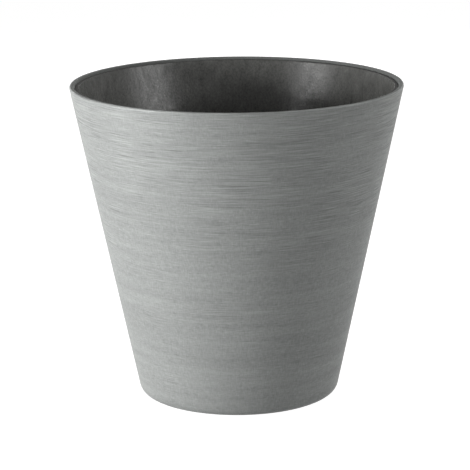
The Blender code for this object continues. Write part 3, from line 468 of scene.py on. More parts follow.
def ring_of(first, count):
    """A piece and its copies, evenly round the origin and half a step on from X, joined into one."""
    turn_piece(first, math.pi / count)
    ring = [first]
    for k in range(1, count):
        ring.append(copied(first, first.name))
        turn_piece(ring[k], math.tau * k / count)
    return joined(*ring)


def carve(piece, operation, tool):
    """Adds a tool to a piece, or takes it away from the piece, and removes the tool."""
    select_only(piece)
    change = piece.modifiers.new("carve", "BOOLEAN")
    change.operation = operation
    change.solver = "EXACT"
    change.object = tool
    bpy.ops.object.modifier_apply(modifier=change.name)
    bpy.data.objects.remove(tool)


def soften(piece, width):
    """Rounds the sharp edges of a piece."""
    select_only(piece)
    change = piece.modifiers.new("soften", "BEVEL")
    change.limit_method = "ANGLE"
    change.angle_limit = SOFTEN_ANGLE
    change.width = width
    change.segments = SOFTEN_STEPS
    bpy.ops.object.modifier_apply(modifier=change.name)


def sliced_across(piece):
    """Cuts a flat piece into strips along Y, so that it can be bent round the wall."""
    ys = [v.co.y for v in piece.data.vertices]
    width = max(ys) - min(ys)
    count = max(1, round(width / WRAP_STEP))
    for k in range(1, count):
        y = min(ys) + width * k / count
        open_mesh(piece)
        bpy.ops.mesh.bisect(plane_co=(0, y, 0), plane_no=(0, 1, 0))
        close_mesh()


def bend_to_wall(piece, side):
    """Bends a flat piece, whose X is its distance from the liner's wall, round the liner on one side."""
    for v in piece.data.vertices:
        radius = liner_inner(v.co.z) - v.co.x
        v.co.x = side * math.sqrt(radius**2 - v.co.y**2)
    open_mesh(piece)
    tidy_shell()


def done(piece, body, slot, *nodes):
    """Shades a finished piece, gives it its slot's finish, hangs it on its body and hides the imported parts
    it stands in for.
    """
    select_only(piece)
    bpy.ops.object.shade_smooth_by_angle(angle=SHARP)
    piece.data.materials.clear()
    piece.data.materials.append(FINISHES[slot])
    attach(piece, body)
    if nodes:
        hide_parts(*nodes)


# Finishes: noise on the piece's own coordinates drives tone, gloss and relief

# Dark and light tone of each finish
POT_WALL_TONES = ((0.193, 0.199, 0.195), (0.352, 0.364, 0.355))
# The rim tones are darker partly as body colour and partly as painted shade on the upward-facing rim
POT_RIM_BODY_AND_SHADE_TONES = ((0.142, 0.147, 0.142), (0.2, 0.207, 0.201))
LINER_WALL_TONES = ((0.05, 0.0503, 0.0477), (0.169, 0.17, 0.161))
# The liner's lip tones are painted shade
LINER_LIP_SHADE_TONES = ((0.022, 0.022, 0.021), (0.038, 0.038, 0.036))
BLACK_TONES = ((0.022, 0.022, 0.023), (0.046, 0.046, 0.047))
RUBBER_TONES = ((0.009, 0.009, 0.009), (0.017, 0.017, 0.017))
RED_TONES = ((0.48, 0.014, 0.01), (0.62, 0.026, 0.02))
FOAM_TONES_WITH_HOLLOW_SHADE = ((0.62, 0.61, 0.56), (0.8, 0.79, 0.74))
CLEAR_TONES = ((0.86, 0.9, 0.9), (0.95, 0.96, 0.96))
STEEL_TONES = ((0.5, 0.5, 0.5), (0.68, 0.68, 0.67))

# Depth of each finish's relief
BRUSHED_DEPTH = 0.08 * MM
LINER_GRAIN_DEPTH = 0.3 * MM
FOAM_CELL_DEPTH = 0.25 * MM
CLEAR_WAVE_DEPTH = 0.04 * MM
STEEL_LINE_DEPTH = 0.02 * MM

# How strongly the two large finishes reflect
POT_SPECULAR = 0.07
LINER_SPECULAR = 0.22


def new_finish(name):
    made = bpy.data.materials.new(name)
    made.use_nodes = True
    return made, made.node_tree, made.node_tree.nodes["Principled BSDF"]


def new_node(tree, kind, inputs, operation=None):
    """A node whose inputs, by name or number, are set to a number or tone, or linked to another node."""
    made = tree.nodes.new("ShaderNode" + kind)
    if operation:
        made.operation = operation
    for place, value in inputs.items():
        if isinstance(value, bpy.types.NodeSocket):
            tree.links.new(value, made.inputs[place])
        else:
            made.inputs[place].default_value = value
    return made


def own_place(tree, scale):
    """The piece's own coordinates, with so many noise cells to the metre along each axis."""
    place = new_node(tree, "TexCoord", {})
    return new_node(tree, "Mapping", {"Vector": place.outputs["Object"], "Scale": scale}).outputs["Vector"]


def round_place(tree, around, up):
    """Coordinates that run round the pot's axis and up it, with no seam."""
    flat = new_node(tree, "VectorMath", {0: own_place(tree, (1, 1, 0))}, "NORMALIZE")
    inputs = {0: flat.outputs["Vector"], 1: (around, around, 0), 2: own_place(tree, (0, 0, up))}
    return new_node(tree, "VectorMath", inputs, "MULTIPLY_ADD").outputs["Vector"]


def noise_over(tree, place, detail, roughness):
    inputs = {"Vector": place, "Scale": 1.0, "Detail": detail, "Roughness": roughness}
    return new_node(tree, "TexNoise", inputs).outputs["Fac"]


def noise(tree, cells, detail=2.0, roughness=0.5):
    return noise_over(tree, own_place(tree, cells), detail, roughness)


def blend(tree, first, second, share):
    """A mix of two values with a share of the second, which is a number or a value that varies."""
    return new_node(tree, "Mix", {"Factor": share, "A": first, "B": second}).outputs["Result"]


def blend_tones(tree, first, second, share):
    """A mix of two tones with a varying share of the second."""
    made = new_node(tree, "Mix", {"Factor": share})
    made.data_type = "RGBA"
    colour_inputs = [entry for entry in made.inputs if entry.type == "RGBA"]
    tree.links.new(first, colour_inputs[0])
    tree.links.new(second, colour_inputs[1])
    return [entry for entry in made.outputs if entry.type == "RGBA"][0]


def spread(tree, value, low, high, start=0.3, end=0.7):
    """Spreads a noise value over a range."""
    inputs = {"Value": value, "From Min": start, "From Max": end, "To Min": low, "To Max": high}
    return new_node(tree, "MapRange", inputs).outputs["Result"]


def ramp(tree, value, *stops):
    """A tone taken from stops of (value, colour)."""
    made = new_node(tree, "ValToRGB", {"Fac": value})
    elements = made.color_ramp.elements
    while len(elements) < len(stops):
        elements.new(0.5)
    for element, (position, colour) in zip(elements, stops):
        element.position = position
        element.color = (*colour, 1)
    return made.outputs["Color"]


def tones(tree, value, shades, start=0.3, end=0.7):
    """A tone between a dark and a light shade."""
    return ramp(tree, value, (start, shades[0]), (end, shades[1]))


def difference(tree, first, second):
    return new_node(tree, "Math", {0: first, 1: second}, "SUBTRACT").outputs["Value"]


def reach(tree, scale):
    """How far the piece's own coordinates, scaled along each axis, are from the origin."""
    return new_node(tree, "VectorMath", {0: own_place(tree, scale)}, "LENGTH").outputs["Value"]


def relief(tree, height, depth):
    return new_node(tree, "Bump", {"Height": height, "Strength": 1.0, "Distance": depth}).outputs["Normal"]


def drive(tree, shader, colour, gloss, height, depth):
    tree.links.new(colour, shader.inputs["Base Color"])
    tree.links.new(gloss, shader.inputs["Roughness"])
    tree.links.new(relief(tree, height, depth), shader.inputs["Normal"])


# Only the few deepest and lightest marks show as scratches
SCRATCH_TAILS = (
    (0.28, (0, 0, 0)),
    (0.42, (0.5, 0.5, 0.5)),
    (0.58, (0.5, 0.5, 0.5)),
    (0.72, (1, 1, 1)),
)


def inside_share(tree):
    """0 on the pot's brushed outside, 1 on its rim, inside and underside, by depth below the outer wall."""
    widening = reach(tree, (0, 0, TAPER))
    depth = difference(tree, widening, reach(tree, (1, 1, 0)))
    base_round = spread(tree, widening, POT_BASE_ROUND, 0, TAPER * POT_BASE_ROUND, TAPER * 3 * POT_BASE_ROUND)
    start = RIM_EDGE_START - POT_BASE_RADIUS
    end = RIM_EDGE_END - POT_BASE_RADIUS
    return spread(tree, difference(tree, depth, base_round), 0, 1, start, end)


def brushed_grey():
    """Satin grey with a fine cross-hatched grain, soft bands, and brush strokes and scratches that run round
    the pot, strongest near the top. The rim and the inside are left unbrushed: dull, grained and darker, the
    darker tone partly a body colour and partly painted shade on the upward-facing rim."""
    made, tree, shader = new_finish("brushed_grey")
    inside = inside_share(tree)
    upright_hatch = noise(tree, (900, 900, 170), 2.0, 0.6)
    level_hatch = noise(tree, (190, 190, 1700), 2.0, 0.6)
    grain = blend(tree, upright_hatch, level_hatch, 0.55)
    dashes = noise(tree, (60, 60, 2000), 1.0)
    strokes = noise(tree, (7, 7, 1500), 2.0, 0.6)
    scratches = noise(tree, (34, 34, 2200), 1.0)
    bands = noise(tree, (8, 8, 150), 3.0)
    patches = noise(tree, (24, 24, 40))
    rise = reach(tree, (0, 0, 1 / POT_HEIGHT))
    brushed = blend(tree, patches, rise, 0.3)
    calm = spread(tree, grain, 0.38, 0.62)
    lively = spread(tree, grain, 0.22, 0.78)
    weave = blend(tree, calm, lively, spread(tree, brushed, 0, 1, 0.38, 0.66))
    brush = blend(tree, dashes, strokes, 0.5)
    weave = blend(tree, weave, brush, spread(tree, brushed, 0, 0.5, 0.4, 0.62))
    surface = blend(tree, weave, bands, 0.2)
    scored = spread(tree, brushed, 0, 0.45, 0.46, 0.64)
    surface = blend(tree, surface, ramp(tree, scratches, *SCRATCH_TAILS), scored)
    wall = tones(tree, surface, POT_WALL_TONES, 0.36, 0.64)
    # Rim, inside and underside take the darker rim tones: partly body colour, partly painted shade on the
    # upward-facing rim
    colour = blend_tones(tree, wall, tones(tree, grain, POT_RIM_BODY_AND_SHADE_TONES), inside)
    satin = spread(tree, surface, 0.56, 0.4)
    dull = spread(tree, grain, 0.7, 0.6)
    drive(tree, shader, colour, blend(tree, satin, dull, inside), weave, BRUSHED_DEPTH)
    tree.links.new(spread(tree, inside, 0.18, 0, 0, 1), shader.inputs["Metallic"])
    shader.inputs["Specular IOR Level"].default_value = POT_SPECULAR
    return made


def dark_moulding():
    """Dark semi-gloss plastic, mottled, with faint upright flow marks and a dull top edge darkened as painted
    shade.
    """
    made, tree, shader = new_finish("dark_moulding")
    mottle = noise(tree, (130, 130, 75), 5.0, 0.7)
    flow = noise_over(tree, round_place(tree, 34, 14), 4.0, 0.6)
    grain = noise(tree, (600, 600, 480), 2.0, 0.6)
    lip = spread(tree, reach(tree, (0, 0, 1)), 0, 1, LINER_TOP - LINER_LIP_ROUND, LINER_TOP)
    marks = blend(tree, mottle, flow, 0.2)
    surface = blend(tree, marks, grain, 0.35)
    gloss = spread(tree, marks, 0.35, 0.2)
    dull = spread(tree, grain, 0.9, 0.8)
    wall = tones(tree, surface, LINER_WALL_TONES, 0.34, 0.66)
    # The lip's darker tone is painted shade; its dullness is roughness
    colour = blend_tones(tree, wall, tones(tree, grain, LINER_LIP_SHADE_TONES), lip)
    drive(tree, shader, colour, blend(tree, gloss, dull, lip), surface, LINER_GRAIN_DEPTH)
    shader.inputs["Specular IOR Level"].default_value = LINER_SPECULAR
    return made


def moulded(name, shades, smooth, rough, grain_size, depth):
    """Moulded plastic: a fine grain over slow changes of tone and gloss."""
    made, tree, shader = new_finish(name)
    cells = 1 / grain_size
    grain = noise(tree, (cells, cells, cells))
    drift = noise(tree, (60, 60, 60), 3.0)
    colour = tones(tree, blend(tree, grain, drift, 0.5), shades)
    drive(tree, shader, colour, spread(tree, drift, smooth, rough), grain, depth)
    return made


def foam():
    """Closed-cell foam: small round cells that dent the skin, each darker towards its middle as painted
    shade.
    """
    made, tree, shader = new_finish("closed_cell_foam")
    cells = new_node(tree, "TexVoronoi", {"Vector": own_place(tree, (900, 900, 900)), "Scale": 1.0})
    hollow_depth_and_shade = cells.outputs["Distance"]
    # The cell hollows are darkened in colour: painted shade
    tree.links.new(tones(tree, hollow_depth_and_shade, FOAM_TONES_WITH_HOLLOW_SHADE, 0.1, 0.7), shader.inputs["Base Color"])
    tree.links.new(relief(tree, hollow_depth_and_shade, FOAM_CELL_DEPTH), shader.inputs["Normal"])
    shader.inputs["Roughness"].default_value = 0.85
    return made


def clear_plastic():
    """Clear moulded plastic with a faint waviness and wiping marks."""
    made, tree, shader = new_finish("clear_plastic")
    waves = noise(tree, (120, 120, 40))
    wipes = noise(tree, (500, 500, 60), 3.0)
    gloss = spread(tree, wipes, 0.03, 0.12)
    drive(tree, shader, tones(tree, waves, CLEAR_TONES), gloss, waves, CLEAR_WAVE_DEPTH)
    shader.inputs["Transmission Weight"].default_value = 1.0
    shader.inputs["IOR"].default_value = 1.49
    return made


def drawn_steel():
    """Drawn steel wire with fine lines along X."""
    made, tree, shader = new_finish("drawn_steel")
    lines = noise(tree, (120, 4000, 4000))
    gloss = spread(tree, lines, 0.22, 0.38)
    drive(tree, shader, tones(tree, lines, STEEL_TONES), gloss, lines, STEEL_LINE_DEPTH)
    shader.inputs["Metallic"].default_value = 1.0
    return made


# The finish of each slot; a moulded one has its smoothest and roughest gloss, grain size and depth
FINISHES = {
    "brushed_grey": brushed_grey(),
    "dark_grey": dark_moulding(),
    "black": moulded("black_moulding", BLACK_TONES, 0.34, 0.52, 0.5 * MM, 0.05 * MM),
    "rubber": moulded("seal_rubber", RUBBER_TONES, 0.65, 0.85, 0.35 * MM, 0.04 * MM),
    "red": moulded("flag_red", RED_TONES, 0.22, 0.35, 1.2 * MM, 0.01 * MM),
    "foam": foam(),
    "clear": clear_plastic(),
    "pin_steel": drawn_steel(),
}


# Outer pot, with a collar round the access hole and ribs under its floor

def model_pot():
    foot_inner = POT_BASE_RADIUS - POT_BASE_ROUND - POT_FOOT_WIDTH
    collar = ACCESS_RADIUS + COLLAR_WIDTH
    edge = POT_FOOT_ROUND / 2
    corners = [
        (POT_RIM_RADIUS, POT_HEIGHT, POT_RIM_ROUND),
        (POT_BASE_RADIUS, 0, POT_BASE_ROUND),
        (foot_inner, 0, POT_FOOT_ROUND),
        (foot_inner, POT_FOOT_HEIGHT, POT_FOOT_ROUND),
        (collar, POT_FOOT_HEIGHT, edge),
        (collar, COLLAR_BOTTOM, edge),
        (ACCESS_RADIUS, COLLAR_BOTTOM, edge),
        (ACCESS_RADIUS, POT_FLOOR_TOP, edge),
        (pot_inner(POT_FLOOR_TOP), POT_FLOOR_TOP, POT_INSIDE_ROUND),
        (pot_inner(POT_HEIGHT), POT_HEIGHT, POT_RIM_ROUND),
    ]
    pot = turned("pot_shell", corners, LARGE_STEPS, closed=True)
    half = BASE_RIB_WIDTH / 2
    low = (collar - COLLAR_WIDTH / 2, -half, BASE_RIB_BOTTOM)
    high = (foot_inner + COLLAR_WIDTH / 2, half, (POT_FOOT_HEIGHT + POT_FLOOR_TOP) / 2)
    rib = block("base_rib", low, high, BASE_RIB_EDGE)
    carve(pot, "UNION", ring_of(rib, BASE_RIB_COUNT))
    done(pot, "pot", "brushed_grey", "outer_pot")


# Liner, and the bridges on its wall that its handles slide in

def model_liner():
    underside = LINER_SEAT + LINER_FOOT_HEIGHT
    floor_top = underside + LINER_FLOOR
    ledge_top = floor_top + RESERVOIR_DEPTH
    lip_bottom = LINER_TOP - LINER_LIP_HEIGHT
    step_bottom = ledge_top - LINER_WALL
    foot_outer = LINER_FOOT_INNER + LINER_FOOT_WIDTH
    edge = LINER_EDGE_ROUND
    corners = [
        (pot_inner(LINER_TOP) - LINER_LIP_CLEARANCE, LINER_TOP, LINER_LIP_ROUND),
        (pot_inner(lip_bottom) - LINER_LIP_CLEARANCE, lip_bottom, edge / 2),
        (liner_outer(lip_bottom), lip_bottom, 0),
        (liner_outer(step_bottom), step_bottom, edge),
        (liner_outer(step_bottom) - LINER_LEDGE, step_bottom, edge),
        (liner_outer(underside) - LINER_LEDGE, underside, LINER_INSIDE_ROUND + LINER_WALL),
        (foot_outer, underside, edge),
        (foot_outer, LINER_SEAT, edge),
        (LINER_FOOT_INNER, LINER_SEAT, edge),
        (LINER_FOOT_INNER, underside, edge),
        (DRAIN_BORE_RADIUS, underside, edge),
        (DRAIN_BORE_RADIUS, floor_top + BOSS_HEIGHT, edge),
        (BOSS_RADIUS, floor_top + BOSS_HEIGHT, edge),
        (BOSS_RADIUS, floor_top, edge),
        (liner_inner(floor_top) - LINER_LEDGE, floor_top, LINER_INSIDE_ROUND),
        (liner_inner(ledge_top) - LINER_LEDGE, ledge_top, edge),
        (liner_inner(ledge_top), ledge_top, edge),
        (liner_inner(LINER_TOP), LINER_TOP, LINER_LIP_ROUND),
    ]
    liner = turned("liner_shell", corners, LARGE_STEPS, closed=True)
    done(liner, "liner", "dark_grey", "liner")


def model_guides():
    guide_top = HANDLE_TOP - HANDLE_BAR - GUIDE_TOP_GAP
    leg = (HANDLE_WIDTH - HANDLE_LEG) / 2
    slot_half = HANDLE_LEG / 2 + GUIDE_CLEARANCE
    block_half = slot_half + GUIDE_CHEEK
    slot_face = HANDLE_WALL_GAP + HANDLE_THICKNESS + GUIDE_CLEARANCE
    bridge_face = slot_face + GUIDE_BRIDGE
    corners = [
        (-GUIDE_ROOT, block_half, 0),
        (bridge_face, block_half, GUIDE_ROUND),
        (bridge_face, -block_half, GUIDE_ROUND),
        (-GUIDE_ROOT, -block_half, 0),
        (-GUIDE_ROOT, -slot_half, 0),
        (slot_face, -slot_half, GUIDE_EDGE),
        (slot_face, slot_half, GUIDE_EDGE),
        (-GUIDE_ROOT, slot_half, 0),
    ]
    outline = [Vector((p.x, leg + p.y, guide_top - GUIDE_HEIGHT)) for p in rounded(corners, True)]
    guide = plate("handle_guides", outline, Vector((0, 0, GUIDE_HEIGHT)))
    soften(guide, GUIDE_EDGE)
    sliced_across(guide)
    twin = copied(guide, "handle_guide_twin")
    shift(twin, (0, -2 * leg, 0))
    joined(guide, twin)
    others = copied(guide, "handle_guides_left")
    bend_to_wall(guide, 1)
    bend_to_wall(others, -1)
    joined(guide, others)
    done(guide, "liner", "dark_grey")


# Pull-up handles: a strap bent to the wall, with a ribbed grip bar and two legs that end in stops

def model_handle(node, side, body):
    half = HANDLE_WIDTH / 2
    leg_inner = half - HANDLE_LEG
    stop_top = HANDLE_BOTTOM + HANDLE_STOP_HEIGHT
    stop = half + HANDLE_STOP_REACH
    bar_bottom = HANDLE_TOP - HANDLE_BAR
    right = [
        (half, HANDLE_TOP, HANDLE_CORNER_ROUND),
        (half, stop_top, HANDLE_STOP_ROUND),
        (stop, stop_top, HANDLE_STOP_ROUND),
        (stop, HANDLE_BOTTOM, HANDLE_STOP_ROUND),
        (leg_inner, HANDLE_BOTTOM, HANDLE_STOP_ROUND),
        (leg_inner, bar_bottom, HANDLE_INSIDE_ROUND),
    ]
    left = [(-y, z, radius) for y, z, radius in reversed(right)]
    outline = [Vector((HANDLE_WALL_GAP, p.x, p.y)) for p in rounded(right + left, True)]
    handle = plate(f"{node}_strap", outline, Vector((HANDLE_THICKNESS, 0, 0)))
    soften(handle, HANDLE_EDGE)
    sliced_across(handle)
    face = HANDLE_WALL_GAP + HANDLE_THICKNESS
    for k in range(GRIP_RIB_COUNT):
        y = (k - (GRIP_RIB_COUNT - 1) / 2) * GRIP_RIB_SPACING
        low = (face - GRIP_RIB_RISE, y - GRIP_RIB_WIDTH / 2, bar_bottom + HANDLE_BAR / 4)
        high = (face + GRIP_RIB_RISE, y + GRIP_RIB_WIDTH / 2, HANDLE_TOP - HANDLE_BAR / 4)
        joined(handle, block("grip_rib", low, high, GRIP_RIB_EDGE))
    bend_to_wall(handle, side)
    done(handle, body, "dark_grey", node)


# Drain plug with its thread and grip, and the seal on its neck

def model_plug():
    flange_bottom = PLUG_BOTTOM + PLUG_GRIP_HEIGHT
    flange_top = flange_bottom + PLUG_FLANGE_THICKNESS
    corners = [
        (0, PLUG_TOP, 0),
        (PLUG_NECK_RADIUS, PLUG_TOP, THREAD_RADIUS),
        (PLUG_NECK_RADIUS, flange_top, THREAD_RADIUS / 3),
        (PLUG_FLANGE_RADIUS, flange_top, PLUG_FLANGE_ROUND),
        (PLUG_FLANGE_RADIUS, flange_bottom, PLUG_FLANGE_ROUND),
        (0, flange_bottom, 0),
    ]
    plug = turned("drain_plug_body", corners, TUBE_STEPS)
    low = (-PLUG_GRIP_LENGTH / 2, -PLUG_GRIP_WIDTH / 2, PLUG_BOTTOM)
    high = (PLUG_GRIP_LENGTH / 2, PLUG_GRIP_WIDTH / 2, (flange_bottom + flange_top) / 2)
    carve(plug, "UNION", block("plug_grip", low, high, PLUG_GRIP_EDGE))
    joined(plug, plug_thread())
    done(plug, "plug", "black", "drain_plug")


def plug_thread():
    """A round bead wound up the neck, closed at both ends."""
    start = PLUG_TOP - THREAD_TURNS * THREAD_PITCH - 2 * THREAD_RADIUS
    select_only()
    bpy.ops.mesh.primitive_circle_add(
        vertices=HOLE_STEPS,
        radius=THREAD_RADIUS,
        location=(PLUG_NECK_RADIUS, 0, start),
        rotation=(math.pi / 2, 0, 0),
    )
    thread = just_added("plug_thread")
    winding = thread.modifiers.new("winding", "SCREW")
    winding.steps = SMALL_STEPS
    winding.render_steps = SMALL_STEPS
    winding.iterations = THREAD_TURNS
    winding.screw_offset = THREAD_PITCH
    bpy.ops.object.modifier_apply(modifier=winding.name)
    open_mesh(thread)
    bpy.ops.mesh.fill_holes(sides=HOLE_STEPS)
    tidy_shell()
    return thread


def model_seal():
    centre = middle("drain_seal").z
    half = SEAL_SECTION / 2
    corners = [
        (SEAL_RADIUS + half, centre + half, half),
        (SEAL_RADIUS + half, centre - half, half),
        (SEAL_RADIUS - half, centre - half, half),
        (SEAL_RADIUS - half, centre + half, half),
    ]
    seal = turned("drain_seal_ring", corners, TUBE_STEPS, closed=True)
    done(seal, "plug_seal", "rubber", "drain_seal")


# Separator plate: a perforated disc with a skirt, two tube sockets and three cup holes

def model_plate():
    plate_top = PLATE_BOTTOM + PLATE_THICKNESS
    edge = PLATE_EDGE_ROUND

    def rim(z):
        return liner_inner(z) - PLATE_CLEARANCE

    corners = [
        (0, plate_top, 0),
        (rim(plate_top) - PLATE_SKIRT_WALL, plate_top, PLATE_SKIRT_WALL),
        (rim(PLATE_SKIRT_TOP) - PLATE_SKIRT_WALL, PLATE_SKIRT_TOP, edge),
        (rim(PLATE_SKIRT_TOP), PLATE_SKIRT_TOP, edge),
        (rim(PLATE_BOTTOM), PLATE_BOTTOM, edge),
        (0, PLATE_BOTTOM, 0),
    ]
    disc = turned("separator_disc", corners, LARGE_STEPS)
    carve(disc, "UNION", tube_socket("fill_socket", FILL_SOCKET_RADIUS, FILL_AXIS))
    carve(disc, "UNION", tube_socket("gauge_socket", GAUGE_SOCKET_RADIUS, GAUGE_AXIS))
    drills = [
        drill("fill_hole", FILL_SOCKET_BORE, PLATE_SKIRT_TOP, FILL_AXIS),
        drill("gauge_hole", GAUGE_SOCKET_BORE, PLATE_SKIRT_TOP, GAUGE_AXIS),
    ]
    for cup in CUPS:
        drills.append(drill("cup_hole", CUP_HOLE_RADIUS, plate_top, axis_of(cup)))
    first = drill("drain_hole", HOLE_RADIUS, plate_top, (0, 0), HOLE_STEPS)
    for x, y in drain_holes():
        hole = copied(first, "drain_hole")
        shift(hole, (x, y, 0))
        drills.append(hole)
    bpy.data.objects.remove(first)
    carve(disc, "DIFFERENCE", joined(*drills))
    done(disc, "insert", "black", "separator_plate")


def tube_socket(name, radius, axis):
    root = PLATE_BOTTOM + PLATE_THICKNESS / 2
    corners = [
        (0, PLATE_SKIRT_TOP, 0),
        (radius, PLATE_SKIRT_TOP, PLATE_EDGE_ROUND),
        (radius, root, 0),
        (0, root, 0),
    ]
    return turned(name, corners, TUBE_STEPS, axis)


def drill(name, radius, hole_top, axis, steps=TUBE_STEPS):
    """A drill that flares at the top of the hole."""
    flare = radius + HOLE_FLARE
    low = PLATE_BOTTOM - CUT_THROUGH
    high = hole_top + CUT_THROUGH
    corners = [
        (0, low, 0),
        (radius, low, 0),
        (radius, hole_top - HOLE_FLARE, 0),
        (flare, hole_top, 0),
        (flare, high, 0),
        (0, high, 0),
    ]
    return turned(name, corners, steps, axis)


def drain_holes():
    """Holes on evenly spaced rings about the plate's centre, wherever the plate is free."""
    taken = [(*axis_of(cup), CUP_FLANGE_RADIUS) for cup in CUPS]
    taken.append((*FILL_AXIS, FILL_SOCKET_RADIUS))
    taken.append((*GAUGE_AXIS, GAUGE_SOCKET_RADIUS))
    clear = HOLE_RADIUS + HOLE_MARGIN
    ledge_top = LINER_SEAT + LINER_FOOT_HEIGHT + LINER_FLOOR + RESERVOIR_DEPTH
    plate_room = liner_inner(PLATE_BOTTOM) - PLATE_CLEARANCE - PLATE_SKIRT_WALL
    outermost = min(plate_room, liner_inner(ledge_top) - LINER_LEDGE) - clear
    places = []
    for ring in range(1, HOLE_RINGS + 1):
        radius = outermost * ring / HOLE_RINGS
        count = HOLES_IN_FIRST_RING * ring
        for k in range(count):
            angle = math.pi / 2 + math.tau * (k + 0.5) / count
            x = radius * math.cos(angle)
            y = radius * math.sin(angle)
            if all(math.hypot(x - tx, y - ty) > room + clear for tx, ty, room in taken):
                places.append((x, y))
    return places


# Soil cups, modelled once and copied to their places

def model_cups():
    flange_bottom = CUP_TOP - CUP_FLANGE_THICKNESS
    floor_top = CUP_BOTTOM + CUP_WALL
    edge = CUP_EDGE_ROUND
    corners = [
        (0, floor_top, 0),
        (CUP_BOTTOM_RADIUS - CUP_WALL, floor_top, CUP_WALL),
        (CUP_TOP_RADIUS - CUP_WALL, CUP_TOP, 2 * edge),
        (CUP_FLANGE_RADIUS, CUP_TOP, edge),
        (CUP_FLANGE_RADIUS, flange_bottom, edge),
        (CUP_TOP_RADIUS, flange_bottom, edge / 2),
        (CUP_TOP_RADIUS, PLATE_BOTTOM, edge),
        (CUP_BOTTOM_RADIUS, CUP_BOTTOM, CUP_WALL),
        (0, CUP_BOTTOM, 0),
    ]
    cup = turned("soil_cup", corners, TUBE_STEPS)
    bars = slot_bars("cup_slots", CUP_SLOT_COUNT, CUP_SLOT_WIDTH, CUP_SLOT_HEIGHT, floor_top, CUP_TOP_RADIUS)
    hole = post_corners(CUP_DRAIN_RADIUS, CUP_BOTTOM - CUT_THROUGH, floor_top + CUT_THROUGH)
    carve(cup, "DIFFERENCE", joined(bars, turned("cup_drain", hole, SMALL_STEPS)))
    for node in CUPS:
        placed = copied(cup, f"{node}_basket")
        shift(placed, (*axis_of(node), 0))
        done(placed, "insert", "black", node)
    bpy.data.objects.remove(cup)


def slot_bars(name, count, width, height, floor_top, radius):
    """Bars with rounded edges, one through each slot of a round wall that stands on the origin."""
    bottom_edge = floor_top + width
    low = (radius / 2, -width / 2, bottom_edge)
    high = (radius + CUT_THROUGH, width / 2, bottom_edge + height)
    return ring_of(block(name, low, high, width * SLOT_ROUND_SHARE), count)


# Fill tube with its mouth, foot flange and hinge ears

def model_fill_tube():
    mouth_top = top("fill_lid") - (HINGE_KNUCKLE_RADIUS - LID_THICKNESS / 2) - LID_THICKNESS - LID_GAP
    bell_top = mouth_top - FILL_MOUTH_HEIGHT
    bell_bottom = bell_top - FILL_BELL_HEIGHT
    flange_bottom = PLATE_SKIRT_TOP + TUBE_FLANGE_GAP
    flange_top = flange_bottom + FILL_FLANGE_THICKNESS
    lip = FILL_LIP_ROUND
    outside = [
        (0, mouth_top, 0),
        (FILL_MOUTH_RADIUS, mouth_top, lip),
        (FILL_MOUTH_RADIUS, bell_top, FILL_BELL_ROUND),
        (FILL_RADIUS, bell_bottom, FILL_BELL_ROUND),
        (FILL_RADIUS, flange_top, lip),
        (FILL_SOCKET_RADIUS, flange_top, lip),
        (FILL_SOCKET_RADIUS, flange_bottom, lip / 2),
        (FILL_RADIUS, flange_bottom, lip / 2),
        (FILL_RADIUS, FILL_BOTTOM, lip),
        (0, FILL_BOTTOM, 0),
    ]
    tube = turned("fill_tube_body", outside, TUBE_STEPS, FILL_AXIS)
    for side in (-1, 1):
        for tool in hinge_ear(side, mouth_top):
            carve(tube, "UNION", tool)
    above = mouth_top + CUT_THROUGH
    below = FILL_BOTTOM - CUT_THROUGH
    inside = [
        (0, above, 0),
        (FILL_MOUTH_BORE + lip, above, 0),
        (FILL_MOUTH_BORE + lip, mouth_top, 0),
        (FILL_MOUTH_BORE, mouth_top - lip, 0),
        (FILL_MOUTH_BORE, bell_top, FILL_BELL_ROUND),
        (FILL_BORE, bell_bottom, FILL_BELL_ROUND),
        (FILL_BORE, below, 0),
        (0, below, 0),
    ]
    carve(tube, "DIFFERENCE", turned("fill_bore", inside, TUBE_STEPS, FILL_AXIS))
    carve(tube, "DIFFERENCE", hinge_bore())
    done(tube, "insert", "black", "fill_tube")


def ear_span(side):
    near = HINGE_KNUCKLE_HALF + HINGE_SIDE_GAP
    far = near + HINGE_EAR_WIDTH
    return sorted((FILL_X + side * near, FILL_X + side * far))


def hinge_cylinder(name, radius, left, right, edge=0.0):
    """A cylinder along the hinge's line, with rounded ends."""
    piece = turned(name, post_corners(radius, left, right, edge), SMALL_STEPS)
    turn_piece(piece, math.pi / 2, "Y")
    shift(piece, (0, HINGE_Y, HINGE_HEIGHT))
    return piece


def hinge_ear(side, mouth_top):
    """An arm out from the mouth, a post on its end and the round eye that holds the pin."""
    left, right = ear_span(side)
    arm_top = mouth_top - HINGE_ARM_STEP
    arm_bottom = arm_top - HINGE_ARM_HEIGHT
    low = (left, HINGE_Y - HINGE_KNUCKLE_RADIUS, arm_bottom)
    arm = block("hinge_arm", low, (right, FILL_Y - FILL_BORE, arm_top), HINGE_EDGE)
    half = HINGE_KNUCKLE_RADIUS - HINGE_INSET
    low = (left + HINGE_INSET, HINGE_Y - half, (arm_bottom + arm_top) / 2)
    post = block("hinge_post", low, (right - HINGE_INSET, HINGE_Y + half, HINGE_HEIGHT))
    inset = HINGE_INSET / 2
    eye = hinge_cylinder("hinge_eye", HINGE_KNUCKLE_RADIUS, left + inset, right - inset, HINGE_EDGE)
    return arm, post, eye


def hinge_bore():
    left = ear_span(-1)[0] - CUT_THROUGH
    right = ear_span(1)[1] + CUT_THROUGH
    return hinge_cylinder("hinge_bore", HINGE_BORE_RADIUS, left, right)


def model_pin():
    left = ear_span(-1)[0]
    right = ear_span(1)[1]
    pin = hinge_cylinder("hinge_pin_wire", HINGE_PIN_RADIUS, left, right, HINGE_EDGE)
    done(pin, "insert", "pin_steel", "lid_hinge_pin")


# Flip lid with its sealing ring, finger tab, knuckle and a raised water drop

